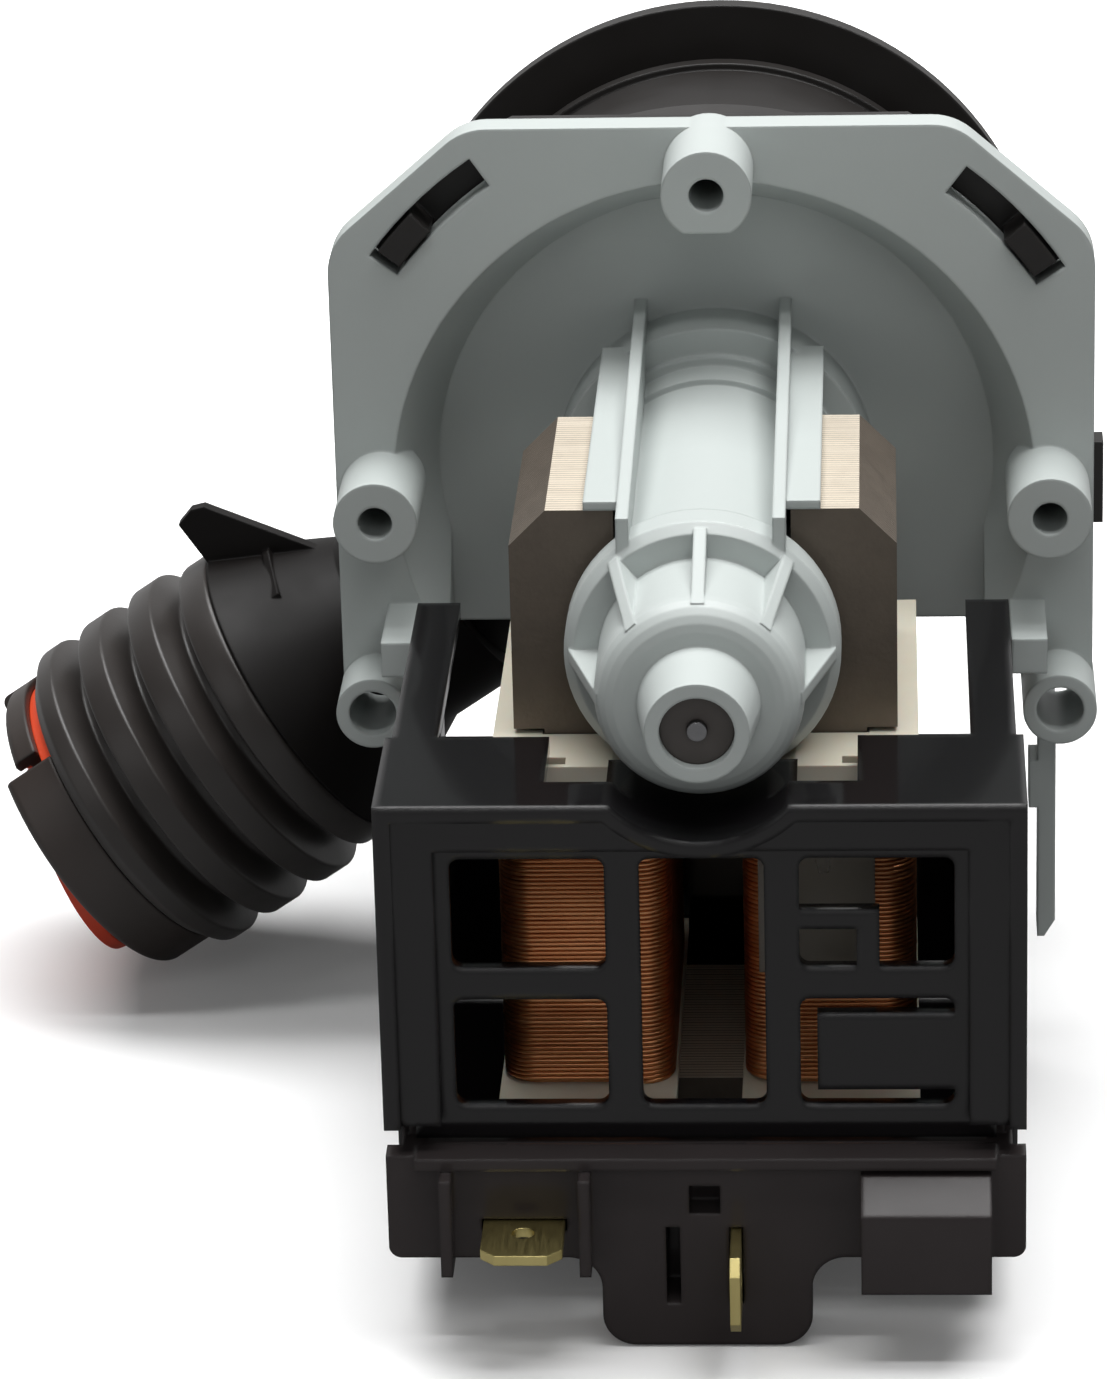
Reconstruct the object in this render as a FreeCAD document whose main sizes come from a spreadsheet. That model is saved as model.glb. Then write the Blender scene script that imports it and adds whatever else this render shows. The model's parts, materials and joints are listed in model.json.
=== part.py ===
import FreeCAD, Part
import Sketcher
import math
import os
import re
from FreeCAD import Placement, Rotation, Vector

# A drain pump for a dishwasher. Millimetres. The rotor axis runs along Y, the pump chamber lies
# towards +Y and Z points up. The part's origin is on the rotor axis, level with the faces of the
# two side screw bosses. Heights and sides below are measured from the rotor axis, and depths from
# the front face of the cover plate, so every finished piece is moved back by boss_reach.

doc = FreeCAD.newDocument("drain_pump")
sheet = doc.addObject("Spreadsheet::Sheet", "Sizes")

# every size and place by name: a number that can be set by itself, or a formula over other names
sizes = {
    # main sizes: the motor's reach in front of the cover plate, its drop below the rotor axis, the
    # chamber's reach behind the plate, and the outlet's reach along its own axis
    "motor_reach": 52.6,
    "motor_drop": 52.1,
    "chamber_reach": 47.0,
    "outlet_reach": 69.7,

    # cover plate and its dish
    "boss_reach": 8.0,
    "plate_half": 31.3,
    "plate_top": "=plate_half - 0.3",
    "plate_thick": 3.0,
    "plate_cut_x": 11.4,
    "plate_cut_z": 9.9,
    "plate_corner_round": 5.0,
    "dish_open": "=plate_half - 4.8",
    "dish_floor": "=dish_open - 3.3",
    "dish_depth": 7.5,
    "dish_wall": 1.8,
    "dish_channel": "=plate_half - 8.9",
    "dish_foot": 14.4,
    "slot_inner": "=plate_half + 0.4",
    "slot_outer": "=plate_half + 3.2",
    "slot_start": 33.2,
    "slot_start_left": 36.2,
    "slot_sweep": 19.6,
    "side_boss_x": "=plate_half - 3.8",
    "side_boss_radius": 3.45,
    "top_boss_z": "=plate_top - 3.35",
    "top_boss_radius": 3.65,
    "boss_hole": 1.4,
    "boss_hole_depth": 9.0,
    "ring_x": "=plate_half - 2.85",
    "ring_z": -17.5,
    "ring_radius": 3.05,
    "ring_hole": 1.95,
    "ring_reach": 6.0,
    "clip_reach": 9.2,
    "clip_wall": 1.1,
    "clip_top": -10.0,
    "clip_foot": -13.0,
    "clip_x": "=plate_half - 4",
    "hook_thick": 1.7,
    "leg_x": "=plate_half - 3",
    "leg_wall": 1.5,
    "leg_foot": "=11.5 - motor_drop",
    "leg_depth": 3.6,

    # rotor can, ribs and nose, one moulding with the cover
    "can_radius": 9.9,
    "can_wall": 1.0,
    "can_front": "=14.9 - motor_reach",
    "shoulder_radius": 10.7,
    "shoulder_back": "=can_front + 3.5",
    "cap_radius": 8.0,
    "cap_front": "=can_front - 10.3",
    "cap_wall": 1.8,
    "cap_round": 2.2,
    "nose_radius": 4.7,
    "nose_tip_radius": 3.95,
    "nose_front": "=cap_front - 5.8",
    "nose_recess": 2.84,
    "nose_recess_depth": 1.8,
    "shoulder_round": 0.8,
    "root_length": 10.0,
    "root_step": 0.45,
    "root_flange": 5.5,
    "root_flange_radius": "=can_radius + 3.3",
    "plug_thick": 0.9,
    "rib_x": 6.0,
    "rib_thick": 1.0,
    "rib_top": 14.1,
    "rib_top_front": 11.0,
    "wing_outer": 9.15,
    "wing_thick": 0.7,
    "wing_back": 4.1,
    "wing_gap": 0.1,
    "gusset_thick": 1.0,

    # stator
    "core_half": 15.0,
    "core_top": 10.16,
    "core_chamfer": 2.88,
    "core_front": "=can_front + 4.8",
    "stack_depth": 21.9,
    "core_back": "=core_front + stack_depth",
    "core_bore_gap": 0.35,
    "pole_gap": 6.85,
    "pole_foot": -8.0,
    "leg_centre": 9.6,
    "limb_half": 3.0,
    "yoke_top": "=13.9 - motor_drop",
    "yoke_foot": "=yoke_top - 6",

    # coils
    "bobbin_gap": 0.15,
    "bobbin_wall": 0.8,
    "flange_top": -8.4,
    "flange_foot": "=flange_top - 3.5",
    "flange_thick": 1.0,
    "flange_margin": 0.2,
    "flange_front": "=core_front - 6.9",
    "coil_build": 2.3,
    "coil_foot": "=yoke_top + 1.2",
    "wire_radius": 0.27,
    "wire_lift": 0.03,
    "turn_count": 24,
    "turn_round": 2.2,
    "wire_notch": 1.4,

    # coil box
    "box_half": 24.65,
    "box_front": "=-motor_reach",
    "box_top": -6.4,
    "box_foot": "=18.8 - motor_drop",
    "box_wall": 1.3,
    "box_top_back": "=box_front + 14.1",
    "ledge_depth": 0.8,
    "panel_front": "=box_front + 3",
    "panel_thick": 1.2,
    "panel_half": 20.3,
    "panel_top": "=box_top - 4",
    "notch_half": 11.9,
    "notch_front": "=box_front + 5",
    "dip_radius": 9.3,
    "arm_back": -9.4,
    "arm_outer": "=clip_x - 3.2",
    "arm_inner": "=arm_outer - 3.5",
    "arm_foot": -20.0,
    "window_top": "=box_top - 5.5",
    "window_foot": "=box_foot + 0.7",
    "window_head": "=window_foot + 9",
    "window_sill": "=window_head + 2.6",
    "outer_window_inner": 7.4,
    "outer_window_outer": 19.2,
    "middle_window_half": 4.75,
    "bar_top": "=window_top - 4.3",
    "bar_foot": "=bar_top - 1.6",
    "bar_width": 1.75,
    "strip_edge": 13.5,
    "tongue_gap": 1.3,
    "window_round": 0.8,
    "rear_top": -21.0,
    "floor_gap": 0.4,

    # terminal block
    "block_half": "=box_half",
    "block_front": "=box_front + 0.6",
    "block_thick": 2.0,
    "block_round": 1.0,
    "lobe_foot": "=-motor_drop",
    "block_top": "=lobe_foot + 16.35",
    "block_foot": "=lobe_foot + 7.6",
    "lobe_half": 8.15,
    "lobe_round": 2.6,
    "block_back": "=block_front + 5.5",
    "ledge_half": 22.4,
    "ledge_reach": 0.9,
    "post_top": "=block_top + 5.75",
    "post_thick": 1.4,
    "guide_reach": 2.6,
    "guide_thick": 0.9,
    "guide_left_x": -20.0,
    "guide_right_x": -9.3,
    "guide_foot": "=block_foot - 0.4",
    "tab_width": 6.3,
    "tab_thick": 0.8,
    "tab_tip": "=block_front - 6.1",
    "tab_back": "=block_front + 8",
    "tab_hole": 0.9,
    "tab_slot_gap": 0.15,
    "flat_tab_x": -14.07,
    "flat_tab_z": "=block_foot + 2.8",
    "upright_tab_x": 2.3,
    "upright_tab_z": "=block_foot - 0.7",
    "key_block_x": 16.95,
    "key_block_half": 5.0,
    "key_block_reach": 4.0,
    "key_block_top": "=block_top - 1.35",
    "key_block_foot": "=block_foot - 1.2",

    # pump chamber
    "volute_x": 0.0,
    "volute_z": 2.0,
    "joint_gap": 0.3,
    "chamber_radius": 21.0,
    "chamber_lip": 22.0,
    "chamber_back": 30.0,
    "chamber_space": 19.2,
    "lip_thick": 1.8,
    "skirt_radius": "=slot_inner - 2.1",
    "skirt_foot": -10.0,
    "skirt_wall": 1.8,
    "collar_radius": 23.6,
    "collar_front": 20.6,
    "collar_back": "=brim_front - 3.2",
    "bead_radius": 24.2,
    "groove_radius": 22.2,
    "brim_radius": 28.2,
    "brim_front": "=spigot_back - 7.2",
    "brim_thick": 1.8,
    "spigot_radius": 17.0,
    "spigot_back": "=chamber_reach",
    "inlet_radius": 14.0,
    "lug_radius": 19.0,
    "gasket_inner": 19.7,
    "gasket_width": 1.7,
    "gasket_thick": 0.9,
    "ear_inner": "=slot_inner - 3.9",
    "ear_reach": "=slot_outer + 0.1",
    "ear_front": 3.4,
    "ear_half": "=plate_half - 0.4",
    "ear_top": "=plate_top - 0.4",
    "ear_thick": 1.8,
    "hook_sweep": 7.0,
    "side_ear_x": "=plate_half + 0.9",
    "side_ear_top": 2.6,
    "side_ear_foot": -4.5,
    "seal_outer": 20.8,
    "seal_front": "=chamber_back + 4",
    "seal_back": "=spigot_back - 3.6",
    "lug_front": "=spigot_back - 2.4",
    "lug_sweep": 34.0,

    # outlet, measured along its own axis from the chamber's middle
    "outlet_x": 1.1,
    "outlet_z": 0.43,
    "outlet_drop": 34.2,
    "outlet_depth": 19.5,
    "stub_bore": 6.2,
    "stub_radius": 7.6,
    "stub_end": 34.0,
    "duct_start": 28.0,
    "duct_fit": 0.1,
    "duct_radius": 9.3,
    "duct_end": "=outlet_reach - 24.2",
    "cone_start": "=duct_end - 9.9",
    "duct_end_radius": 14.4,
    "duct_wall": 1.7,
    "fin_thick": 1.3,
    "fin_rise": 19.0,
    "fin_back": "=duct_end - 9.5",
    "fin_crest": "=duct_end - 2.8",
    "fin_rib_at": "=duct_end - 4.5",
    "hose_rib": 15.1,
    "hose_groove": 12.4,
    "hose_bore": 11.2,
    "hose_pitch": 5.4,
    "hose_first": "=duct_end + 6.9",
    "hose_rib_count": 3,
    "crest_half": 1.3,
    "rim_run": 1.3,
    "foot_run": 0.4,
    "hose_cuff": 3.4,
    "hose_gap": 0.05,

    # hose end and check valve
    "end_stop": "=outlet_reach",
    "end_start": "=end_stop - 4.95",
    "end_radius": 13.8,
    "end_round": 0.8,
    "end_wall": 1.4,
    "window_start": 49.0,
    "window_sweep": 56.0,
    "window_reach": "=end_start + 1.15",
    "tab_reach": "=end_stop - 1.35",
    "end_slot_turn": 5.4,
    "seat_flange": 13.0,
    "seat_flange_thick": 1.2,
    "seat_sleeve": 11.2,
    "seat_wall": 1.6,
    "seat_end": "=end_stop - 2.4",
    "seat_fit": 0.1,
    "flap_radius": 10.9,
    "flap_thick": 1.2,
    "flap_gap": 0.15,
    "flap_top": 8.6,
    "flap_open": 12.0,
    "hinge_height": 10.0,
    "hinge_reach": "=seat_end + 0.8",
    "knuckle_radius": 1.05,
    "knuckle_half": 3.0,
    "hinge_pin": 0.6,
    "pin_fit": 0.06,
    "eye_inner": 3.3,
    "eye_outer": 5.3,

    # rotor and impeller
    "shaft_radius": 1.5,
    "shaft_back": 25.6,
    "running_fit": 0.05,
    "press_gap": 0.02,
    "bearing_radius": 3.5,
    "bearing_length": 5.6,
    "thrust_radius": 0.75,
    "magnet_gap": 0.5,
    "magnet_front": "=core_front - 0.1",
    "magnet_back": "=holder_front - 1.4",
    "holder_front": -8.0,
    "holder_flange": 12.0,
    "holder_thick": 1.6,
    "washer_thick": 0.6,
    "washer_radius": 3.2,
    "dog_front": 11.75,
    "dog_hub": 4.2,
    "dog_reach": 7.0,
    "dog_width": 3.2,
    "dog_length": 3.2,
    "cup_bore": 7.3,
    "cup_radius": 9.0,
    "cup_floor": 1.6,
    "vane_radius": 16.4,
    "vane_thick": 1.5,
    "vane_count": 5,
    "vane_length": 11.0,
    "hub_radius": 4.0,
    "clip_radius": 2.9,
    "clip_thick": 0.6,
    "running_end": 0.3,

    # thermal protector on the right-hand coil
    "cutout_width": 8.6,
    "cutout_height": 13.0,
    "cutout_thick": 1.7,
    "cutout_x": 8.6,
    "cutout_top": -12.2,
    "sleeve_wall": 0.25,
}
for row, (name, value) in enumerate(sizes.items(), 1):
    sheet.set("A%d" % row, name)
    sheet.set("B%d" % row, str(value))
    sheet.setAlias("B%d" % row, name)
doc.recompute()
words = re.compile(r"[a-z][a-z_0-9]*")


def formula(text):
    def named(match):
        word = match.group(0)
        return "Sizes." + word if word in sizes else word
    return words.sub(named, text)


def bind(thing, prop, text):
    thing.setExpression(prop, formula(str(text)))


def mm(name):
    return float(sheet.get(name))


# building blocks: every length given as a formula over the sheet

def put(thing, x, y, z, turn=None):
    if turn is not None:
        thing.Placement = Placement(Vector(0, 0, 0), turn)
    bind(thing, "Placement.Base.x", x)
    bind(thing, "Placement.Base.y", y)
    bind(thing, "Placement.Base.z", z)
    return thing


def block(name, x, y, z):
    """A box between two formulas on each axis."""
    thing = doc.addObject("Part::Box", name)
    bind(thing, "Length", "(%s) - (%s)" % (x[1], x[0]))
    bind(thing, "Width", "(%s) - (%s)" % (y[1], y[0]))
    bind(thing, "Height", "(%s) - (%s)" % (z[1], z[0]))
    return put(thing, x[0], y[0], z[0])


ALONG_Y = Rotation(Vector(1, 0, 0), -90)
ALONG_X = Rotation(Vector(0, 1, 0), 90)
UPRIGHT = Rotation()


def rod(name, radius, start, stop, at=("0", "0"), turn=ALONG_Y):
    """A cylinder along Y, X or Z, from start to stop, with its axis at the two other coordinates."""
    thing = doc.addObject("Part::Cylinder", name)
    bind(thing, "Radius", radius)
    bind(thing, "Height", "(%s) - (%s)" % (stop, start))
    if turn is ALONG_Y:
        return put(thing, at[0], start, at[1], turn)
    if turn is ALONG_X:
        return put(thing, start, at[0], at[1], turn)
    return put(thing, at[0], at[1], start, turn)


def taper(name, radius_start, radius_stop, start, stop, at=("0", "0"), turn=ALONG_Y):
    """A cone along Y or X, placed as a rod is."""
    thing = doc.addObject("Part::Cone", name)
    bind(thing, "Radius1", radius_start)
    bind(thing, "Radius2", radius_stop)
    bind(thing, "Height", "(%s) - (%s)" % (stop, start))
    if turn is ALONG_X:
        return put(thing, start, at[0], at[1], turn)
    return put(thing, at[0], start, at[1], turn)


def joined(name, things):
    thing = doc.addObject("Part::MultiFuse", name)
    thing.Shapes = things
    thing.Refine = True
    return thing


def cut(name, base, tools):
    tool = tools[0] if len(tools) == 1 else joined(name + "_tools", tools)
    thing = doc.addObject("Part::Cut", name)
    thing.Base = base
    thing.Tool = tool
    thing.Refine = True
    return thing


def shared(name, first, second):
    thing = doc.addObject("Part::Common", name)
    thing.Base = first
    thing.Tool = second
    return thing


def plane_of(body, role):
    for feature in body.Origin.OriginFeatures:
        if feature.Role == role:
            return feature


def sketch_on(body, role, level):
    drawing = body.newObject("Sketcher::SketchObject", body.Name + "_sketch")
    drawing.AttachmentSupport = (plane_of(body, role), [""])
    drawing.MapMode = "FlatFace"
    bind(drawing, "AttachmentOffset.Base.z", level)
    return drawing


def draw_corners(drawing, corners):
    """A closed loop of straight sides, with each corner held at two formulas."""
    first = drawing.GeometryCount
    count = len(corners)
    spots = []
    for number in range(count):
        bearing = 2 * math.pi * number / count
        spots.append(Vector(math.cos(bearing), math.sin(bearing), 0) * mm("plate_half"))
    for number in range(count):
        side = Part.LineSegment(spots[number], spots[(number + 1) % count])
        drawing.addGeometry(side, False)
    for number in range(count):
        after = first + (number + 1) % count
        drawing.addConstraint(Sketcher.Constraint("Coincident", first + number, 2, after, 1))
    for number, corner in enumerate(corners):
        for kind, text, spot in (("DistanceX", corner[0], spots[number].x),
                                 ("DistanceY", corner[1], spots[number].y)):
            rule = Sketcher.Constraint(kind, -1, 1, first + number, 1, spot)
            index = drawing.addConstraint(rule)
            bind(drawing, "Constraints[%d]" % index, text)


def slab(name, role, corners, low, high):
    """A plate with straight sides, from low to high along the normal of its plane.

    The plane is XY_Plane (normal +Z), XZ_Plane (normal -Y) or YZ_Plane (normal +X).
    """
    body = doc.addObject("PartDesign::Body", name)
    backwards = role == "XZ_Plane"
    level = "0 - (%s)" % high if backwards else low
    drawing = sketch_on(body, role, level)
    draw_corners(drawing, corners)
    pad = body.newObject("PartDesign::Pad", name + "_pad")
    pad.Profile = drawing
    bind(pad, "Length", "(%s) - (%s)" % (high, low))
    body.Tip = pad
    return body


def turned(name, corners, axis):
    """A solid turned from a half section: about Y from (radius, y), or about X from (x, radius)."""
    body = doc.addObject("PartDesign::Body", name)
    drawing = sketch_on(body, "XY_Plane", "0")
    draw_corners(drawing, corners)
    solid = body.newObject("PartDesign::Revolution", name + "_turn")
    solid.Profile = drawing
    solid.ReferenceAxis = (drawing, ["V_Axis" if axis == "Y" else "H_Axis"])
    solid.Angle = 360.0
    body.Tip = solid
    return body


def softened(name, base, radius, wanted):
    """The edges that wanted() picks, rounded to a size of the sheet."""
    doc.recompute()
    thing = doc.addObject("Part::Fillet", name)
    thing.Base = base
    value = mm(radius)
    picks = []
    for number, edge in enumerate(base.Shape.Edges, 1):
        if wanted(edge):
            picks.append((number, value, value))
    thing.Edges = picks
    return thing


def near(value, target):
    return abs(value - target) < 0.02


pieces = {}


def finish(node, thing, home=None):
    """Names a finished piece and moves it back to the part's origin."""
    thing.Label = node
    if home is None:
        placed = {"x": "0", "y": "0", "z": "0"}
        for path, text in thing.ExpressionEngine:
            if "Placement.Base." in path:
                placed[path[-1]] = text
        thing.setExpression("Placement.Base.x", placed["x"])
        thing.setExpression("Placement.Base.y", "(%s) + Sizes.boss_reach" % placed["y"])
        thing.setExpression("Placement.Base.z", placed["z"])
    pieces[node] = thing
    return thing


def mirrored(name, thing):
    """The same shape on the other side of the plane X = 0."""
    copy = doc.addObject("Part::Mirroring", name)
    copy.Source = thing
    copy.Normal = Vector(1, 0, 0)
    return copy


def both(name, thing):
    return [thing, mirrored(name, thing)]


def ring_sector(name, inner, outer, start, sweep, low, high):
    """A curved block about the rotor axis; start and sweep are degrees from +X towards +Z."""
    wedge = rod(name + "_wedge", outer, low, high)
    wedge.Placement = Placement(Vector(0, 0, 0), ALONG_Y * Rotation(Vector(0, 0, 1), -start - sweep))
    wedge.Angle = sweep
    return cut(name, wedge, [rod(name + "_core", inner, "(%s) - 1" % low, "(%s) + 1" % high)])


def rotor_can():
    """The closed can, its stepped root, shoulder, cap and nose, turned from one half section."""
    outer = [
        ("0", "nose_front + nose_recess_depth"),
        ("nose_recess", "nose_front + nose_recess_depth"),
        ("nose_recess", "nose_front"),
        ("nose_tip_radius", "nose_front"),
        ("nose_radius", "cap_front"),
    ]
    for step in range(6):
        bearing = math.radians(18 * step)
        outer.append(("cap_radius - %.4f * cap_round" % (1 - math.sin(bearing)),
                      "cap_front + %.4f * cap_round" % (1 - math.cos(bearing))))
    outer += [
        ("cap_radius", "can_front"),
        ("shoulder_radius - shoulder_round", "can_front"),
        ("shoulder_radius", "can_front + shoulder_round"),
        ("shoulder_radius", "shoulder_back"),
        ("can_radius", "shoulder_back"),
        ("can_radius", "dish_depth - root_length"),
        ("can_radius + root_step", "dish_depth - root_length"),
        ("can_radius + root_step", "dish_depth - root_flange - 2 * root_step"),
        ("can_radius + 2.6 * root_step", "dish_depth - root_flange - 2 * root_step"),
        ("can_radius + 2.6 * root_step", "dish_depth - root_flange"),
        ("root_flange_radius", "dish_depth - root_flange"),
        ("root_flange_radius", "dish_depth + dish_wall"),
        ("0", "dish_depth + dish_wall"),
    ]
    return turned("can_solid", outer, "Y")


def rotor_space():
    """The hollow of the can, open towards the chamber."""
    inner = [
        ("0", "cap_front + cap_wall"),
        ("cap_radius - cap_wall", "cap_front + cap_wall"),
        ("cap_radius - cap_wall", "can_front + can_wall"),
        ("can_radius - can_wall", "can_front + can_wall"),
        ("can_radius - can_wall", "dish_depth + dish_wall + 1"),
        ("0", "dish_depth + dish_wall + 1"),
    ]
    return turned("can_hollow", inner, "Y")


def gusset(number, bearing):
    """A thin web from the shoulder to the cap, turned about the rotor axis."""
    low = "cap_radius - cap_wall / 2"
    corners = [
        ("can_front + can_wall / 2", low),
        ("can_front + can_wall / 2", "shoulder_radius - shoulder_round / 2"),
        ("can_front", "shoulder_radius - shoulder_round / 2"),
        ("cap_front + 0.5 * cap_round", "cap_radius - 0.1 * cap_round"),
        ("cap_front + 0.5 * cap_round", low),
    ]
    web = slab("gusset_%d" % number, "YZ_Plane", corners, "-gusset_thick / 2", "gusset_thick / 2")
    web.Placement = Placement(Vector(0, 0, 0), Rotation(Vector(0, 1, 0), bearing))
    return web


def make_pump_cover():
    """Flange plate, dished front, rotor can, bosses, rings, clips and side leg."""
    leg_inner = "ring_x - ring_radius"
    corners = [
        ("plate_cut_x - plate_half", "plate_top"),
        ("plate_half - plate_cut_x", "plate_top"),
        ("plate_half", "plate_top - plate_cut_z"),
        ("plate_half", "ring_z"),
        (leg_inner, "ring_z"),
        (leg_inner, "-dish_foot"),
        ("-(%s)" % leg_inner, "-dish_foot"),
        ("-(%s)" % leg_inner, "ring_z"),
        ("-plate_half", "ring_z"),
        ("-plate_half", "plate_top - plate_cut_z"),
    ]
    plate = slab("cover_plate", "XZ_Plane", corners, "0", "plate_thick")
    doc.recompute()
    cut_x = mm("plate_half") - mm("plate_cut_x")
    cut_z = mm("plate_top") - mm("plate_cut_z")

    def at_chamfer(edge):
        middle = edge.CenterOfMass
        upper = near(abs(middle.x), cut_x) and near(middle.z, mm("plate_top"))
        lower = near(abs(middle.x), mm("plate_half")) and near(middle.z, cut_z)
        return near(middle.y, mm("plate_thick") / 2) and (upper or lower)

    plate = softened("cover_rounded", plate, "plate_corner_round", at_chamfer)
    back = "dish_depth + dish_wall"
    panel_half = "dish_channel + dish_wall"
    cup = taper("dish_shell", "dish_open + dish_wall", "dish_floor + dish_wall", "0", back)
    panel = block("dish_panel", ("-(%s)" % panel_half, panel_half), ("0", back), ("-dish_foot", "0"))
    below = block("below_foot", ("-2 * plate_half", "2 * plate_half"), ("-1", "1 + " + back),
                  ("-2 * plate_half", "-dish_foot"))
    dish = cut("dish", joined("dish_solid", [cup, panel]), [below])
    lip = rod("dish_lip", "chamber_lip", "dish_depth", back)
    hollow = [
        taper("dish_hollow", "dish_open", "dish_floor", "0", "dish_depth"),
        rod("dish_mouth", "dish_open", "-1", "0"),
        block("dish_channel_cut", ("-dish_channel", "dish_channel"), ("-1", "dish_depth"),
              ("-2 * dish_foot", "0")),
    ]
    shell = cut("cover_shell", joined("cover_solid", [plate, dish, lip]), hollow)

    solids = [shell, rotor_can()]
    rib_corners = [
        ("can_front + 0.5 * can_wall", "can_radius - 0.3 * can_radius"),
        ("can_front + 0.5 * can_wall", "rib_top_front"),
        ("dish_depth + 0.5 * dish_wall", "rib_top"),
        ("dish_depth + 0.5 * dish_wall", "can_radius - 0.3 * can_radius"),
    ]
    rib = slab("can_rib", "YZ_Plane", rib_corners, "rib_x - rib_thick / 2", "rib_x + rib_thick / 2")
    solids += both("can_rib_left", rib)
    wing = block("can_wing", ("rib_x", "wing_outer"), ("core_front - 0.4", "wing_back"),
                 ("core_top + wing_gap", "core_top + wing_gap + wing_thick"))
    solids += both("can_wing_left", wing)
    for number, bearing in enumerate((0, 41, -41, 90, -90)):
        solids.append(gusset(number, bearing))
    side_boss = rod("side_boss", "side_boss_radius", "-boss_reach", "plate_thick", ("side_boss_x", "0"))
    solids += both("side_boss_left", side_boss)
    top_boss = rod("top_boss_round", "top_boss_radius", "-boss_reach", "plate_thick", ("0", "top_boss_z"))
    boss_back = shared("top_boss_back", rod("top_boss_deep", "top_boss_radius", "0", "dish_depth",
                                            ("0", "top_boss_z")),
                       taper("top_boss_limit", "dish_open + dish_wall", "dish_floor + dish_wall", "0", back))
    top_boss = joined("top_boss_whole", [top_boss, boss_back])
    flat = block("top_boss_flat", ("-2 * top_boss_radius", "2 * top_boss_radius"),
                 ("-2 * boss_reach", "2 * boss_reach"),
                 ("top_boss_z - 2 * top_boss_radius", "top_boss_z - 0.86 * top_boss_radius"))
    solids.append(cut("top_boss", top_boss, [flat]))
    ring = rod("lower_ring", "ring_radius", "-ring_reach", "plate_thick", ("ring_x", "ring_z"))
    solids += both("lower_ring_left", ring)
    clip_inner = "arm_outer + joint_gap"
    clip_wall = block("clip_wall_right", ("clip_x - clip_wall", "clip_x"), ("-clip_reach", "plate_thick"),
                      ("clip_foot", "clip_top"))
    roof = block("clip_roof", (clip_inner, "clip_x"), ("-clip_reach", "plate_thick"),
                 ("clip_top - clip_wall", "clip_top"))
    hook = block("clip_hook", (clip_inner, "clip_x"), ("-clip_reach", "hook_thick - clip_reach"),
                 ("clip_foot", "clip_top"))
    root = block("clip_root", (clip_inner, "clip_x"), ("0", "plate_thick"), ("clip_foot", "clip_top"))
    solids += both("clip_left", joined("clip_right", [clip_wall, roof, hook, root]))
    leg_corners = [
        ("leg_x - leg_wall", "ring_z"),
        ("leg_x", "ring_z"),
        ("leg_x", "leg_foot + leg_wall"),
        ("leg_x - 0.6 * leg_wall", "leg_foot"),
        ("leg_x - leg_wall", "leg_foot"),
    ]
    solids.append(slab("side_leg", "XZ_Plane", leg_corners, "0", "leg_depth"))
    solids.append(block("leg_step", ("leg_x - 1.5 * leg_wall", "leg_x"), ("0", "leg_depth"),
                        ("ring_z - 3.7 * ring_radius", "ring_z - 2.3 * ring_radius")))

    cuts = [rotor_space()]
    cuts.append(rod("thrust_hole", "thrust_radius + press_gap", "nose_front", "can_front"))
    side_hole = rod("side_hole", "boss_hole", "-boss_reach - 1", "boss_hole_depth - boss_reach",
                    ("side_boss_x", "0"))
    cuts += both("side_hole_left", side_hole)
    cuts.append(rod("top_hole", "boss_hole", "-boss_reach - 1", "boss_hole_depth - boss_reach",
                    ("0", "top_boss_z")))
    ring_bore = rod("ring_bore", "ring_hole", "-ring_reach - 1", "leg_depth + 1", ("ring_x", "ring_z"))
    cuts += both("ring_bore_left", ring_bore)
    for corner, start in (("right", mm("slot_start")),
                          ("left", 180 - mm("slot_start_left") - mm("slot_sweep"))):
        cuts.append(ring_sector("corner_slot_" + corner, "slot_inner", "slot_outer", start, mm("slot_sweep"),
                                "-1", "plate_thick + 1"))
    return finish("pump_cover", cut("pump_cover", joined("cover_all", solids), cuts))


def make_nose():
    """A plug in the nose recess and the steel thrust pin that the shaft's end runs against."""
    floor = "nose_front + nose_recess_depth"
    plug = rod("plug_disc", "nose_recess - press_gap", "%s - plug_thick" % floor, floor)
    hole = rod("plug_hole", "thrust_radius + press_gap", "nose_front", "can_front")
    finish("nose_plug", cut("nose_plug", plug, [hole]))
    pin = rod("thrust_pin", "thrust_radius", "%s - 1.6 * plug_thick" % floor, "cap_front + cap_wall + 0.6")
    finish("thrust_pin", pin)


def make_stator():
    """A U of stacked laminations: two poles round the rotor bore, two limbs and a yoke."""
    limb_outer = "leg_centre + limb_half"
    limb_inner = "leg_centre - limb_half"
    half = [
        ("pole_gap", "core_top"),
        ("core_half - core_chamfer", "core_top"),
        ("core_half", "core_top - core_chamfer"),
        ("core_half", "pole_foot"),
        (limb_outer, "pole_foot"),
        (limb_outer, "yoke_foot"),
    ]
    inner = [
        (limb_inner, "yoke_top"),
        (limb_inner, "pole_foot"),
        ("pole_gap", "pole_foot"),
    ]
    corners = list(half)
    for corner in reversed(half):
        corners.append(("-(%s)" % corner[0], corner[1]))
    for corner in reversed(inner):
        corners.append(("-(%s)" % corner[0], corner[1]))
    corners += inner
    stack = slab("core_stack", "XZ_Plane", corners, "core_front", "core_back")
    bore = rod("core_bore", "can_radius + core_bore_gap", "core_front - 1", "core_back + 1")
    finish("stator_core", cut("stator_core", stack, [bore]))


def coil_sizes():
    """Half width and half depth of the bobbin's tube and of the plain winding, as formulas."""
    tube_x = "(limb_half + bobbin_gap + bobbin_wall)"
    tube_y = "((core_back - core_front) / 2 + bobbin_gap + bobbin_wall)"
    return tube_x, tube_y, "(%s + coil_build)" % tube_x, "(%s + coil_build)" % tube_y


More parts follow.
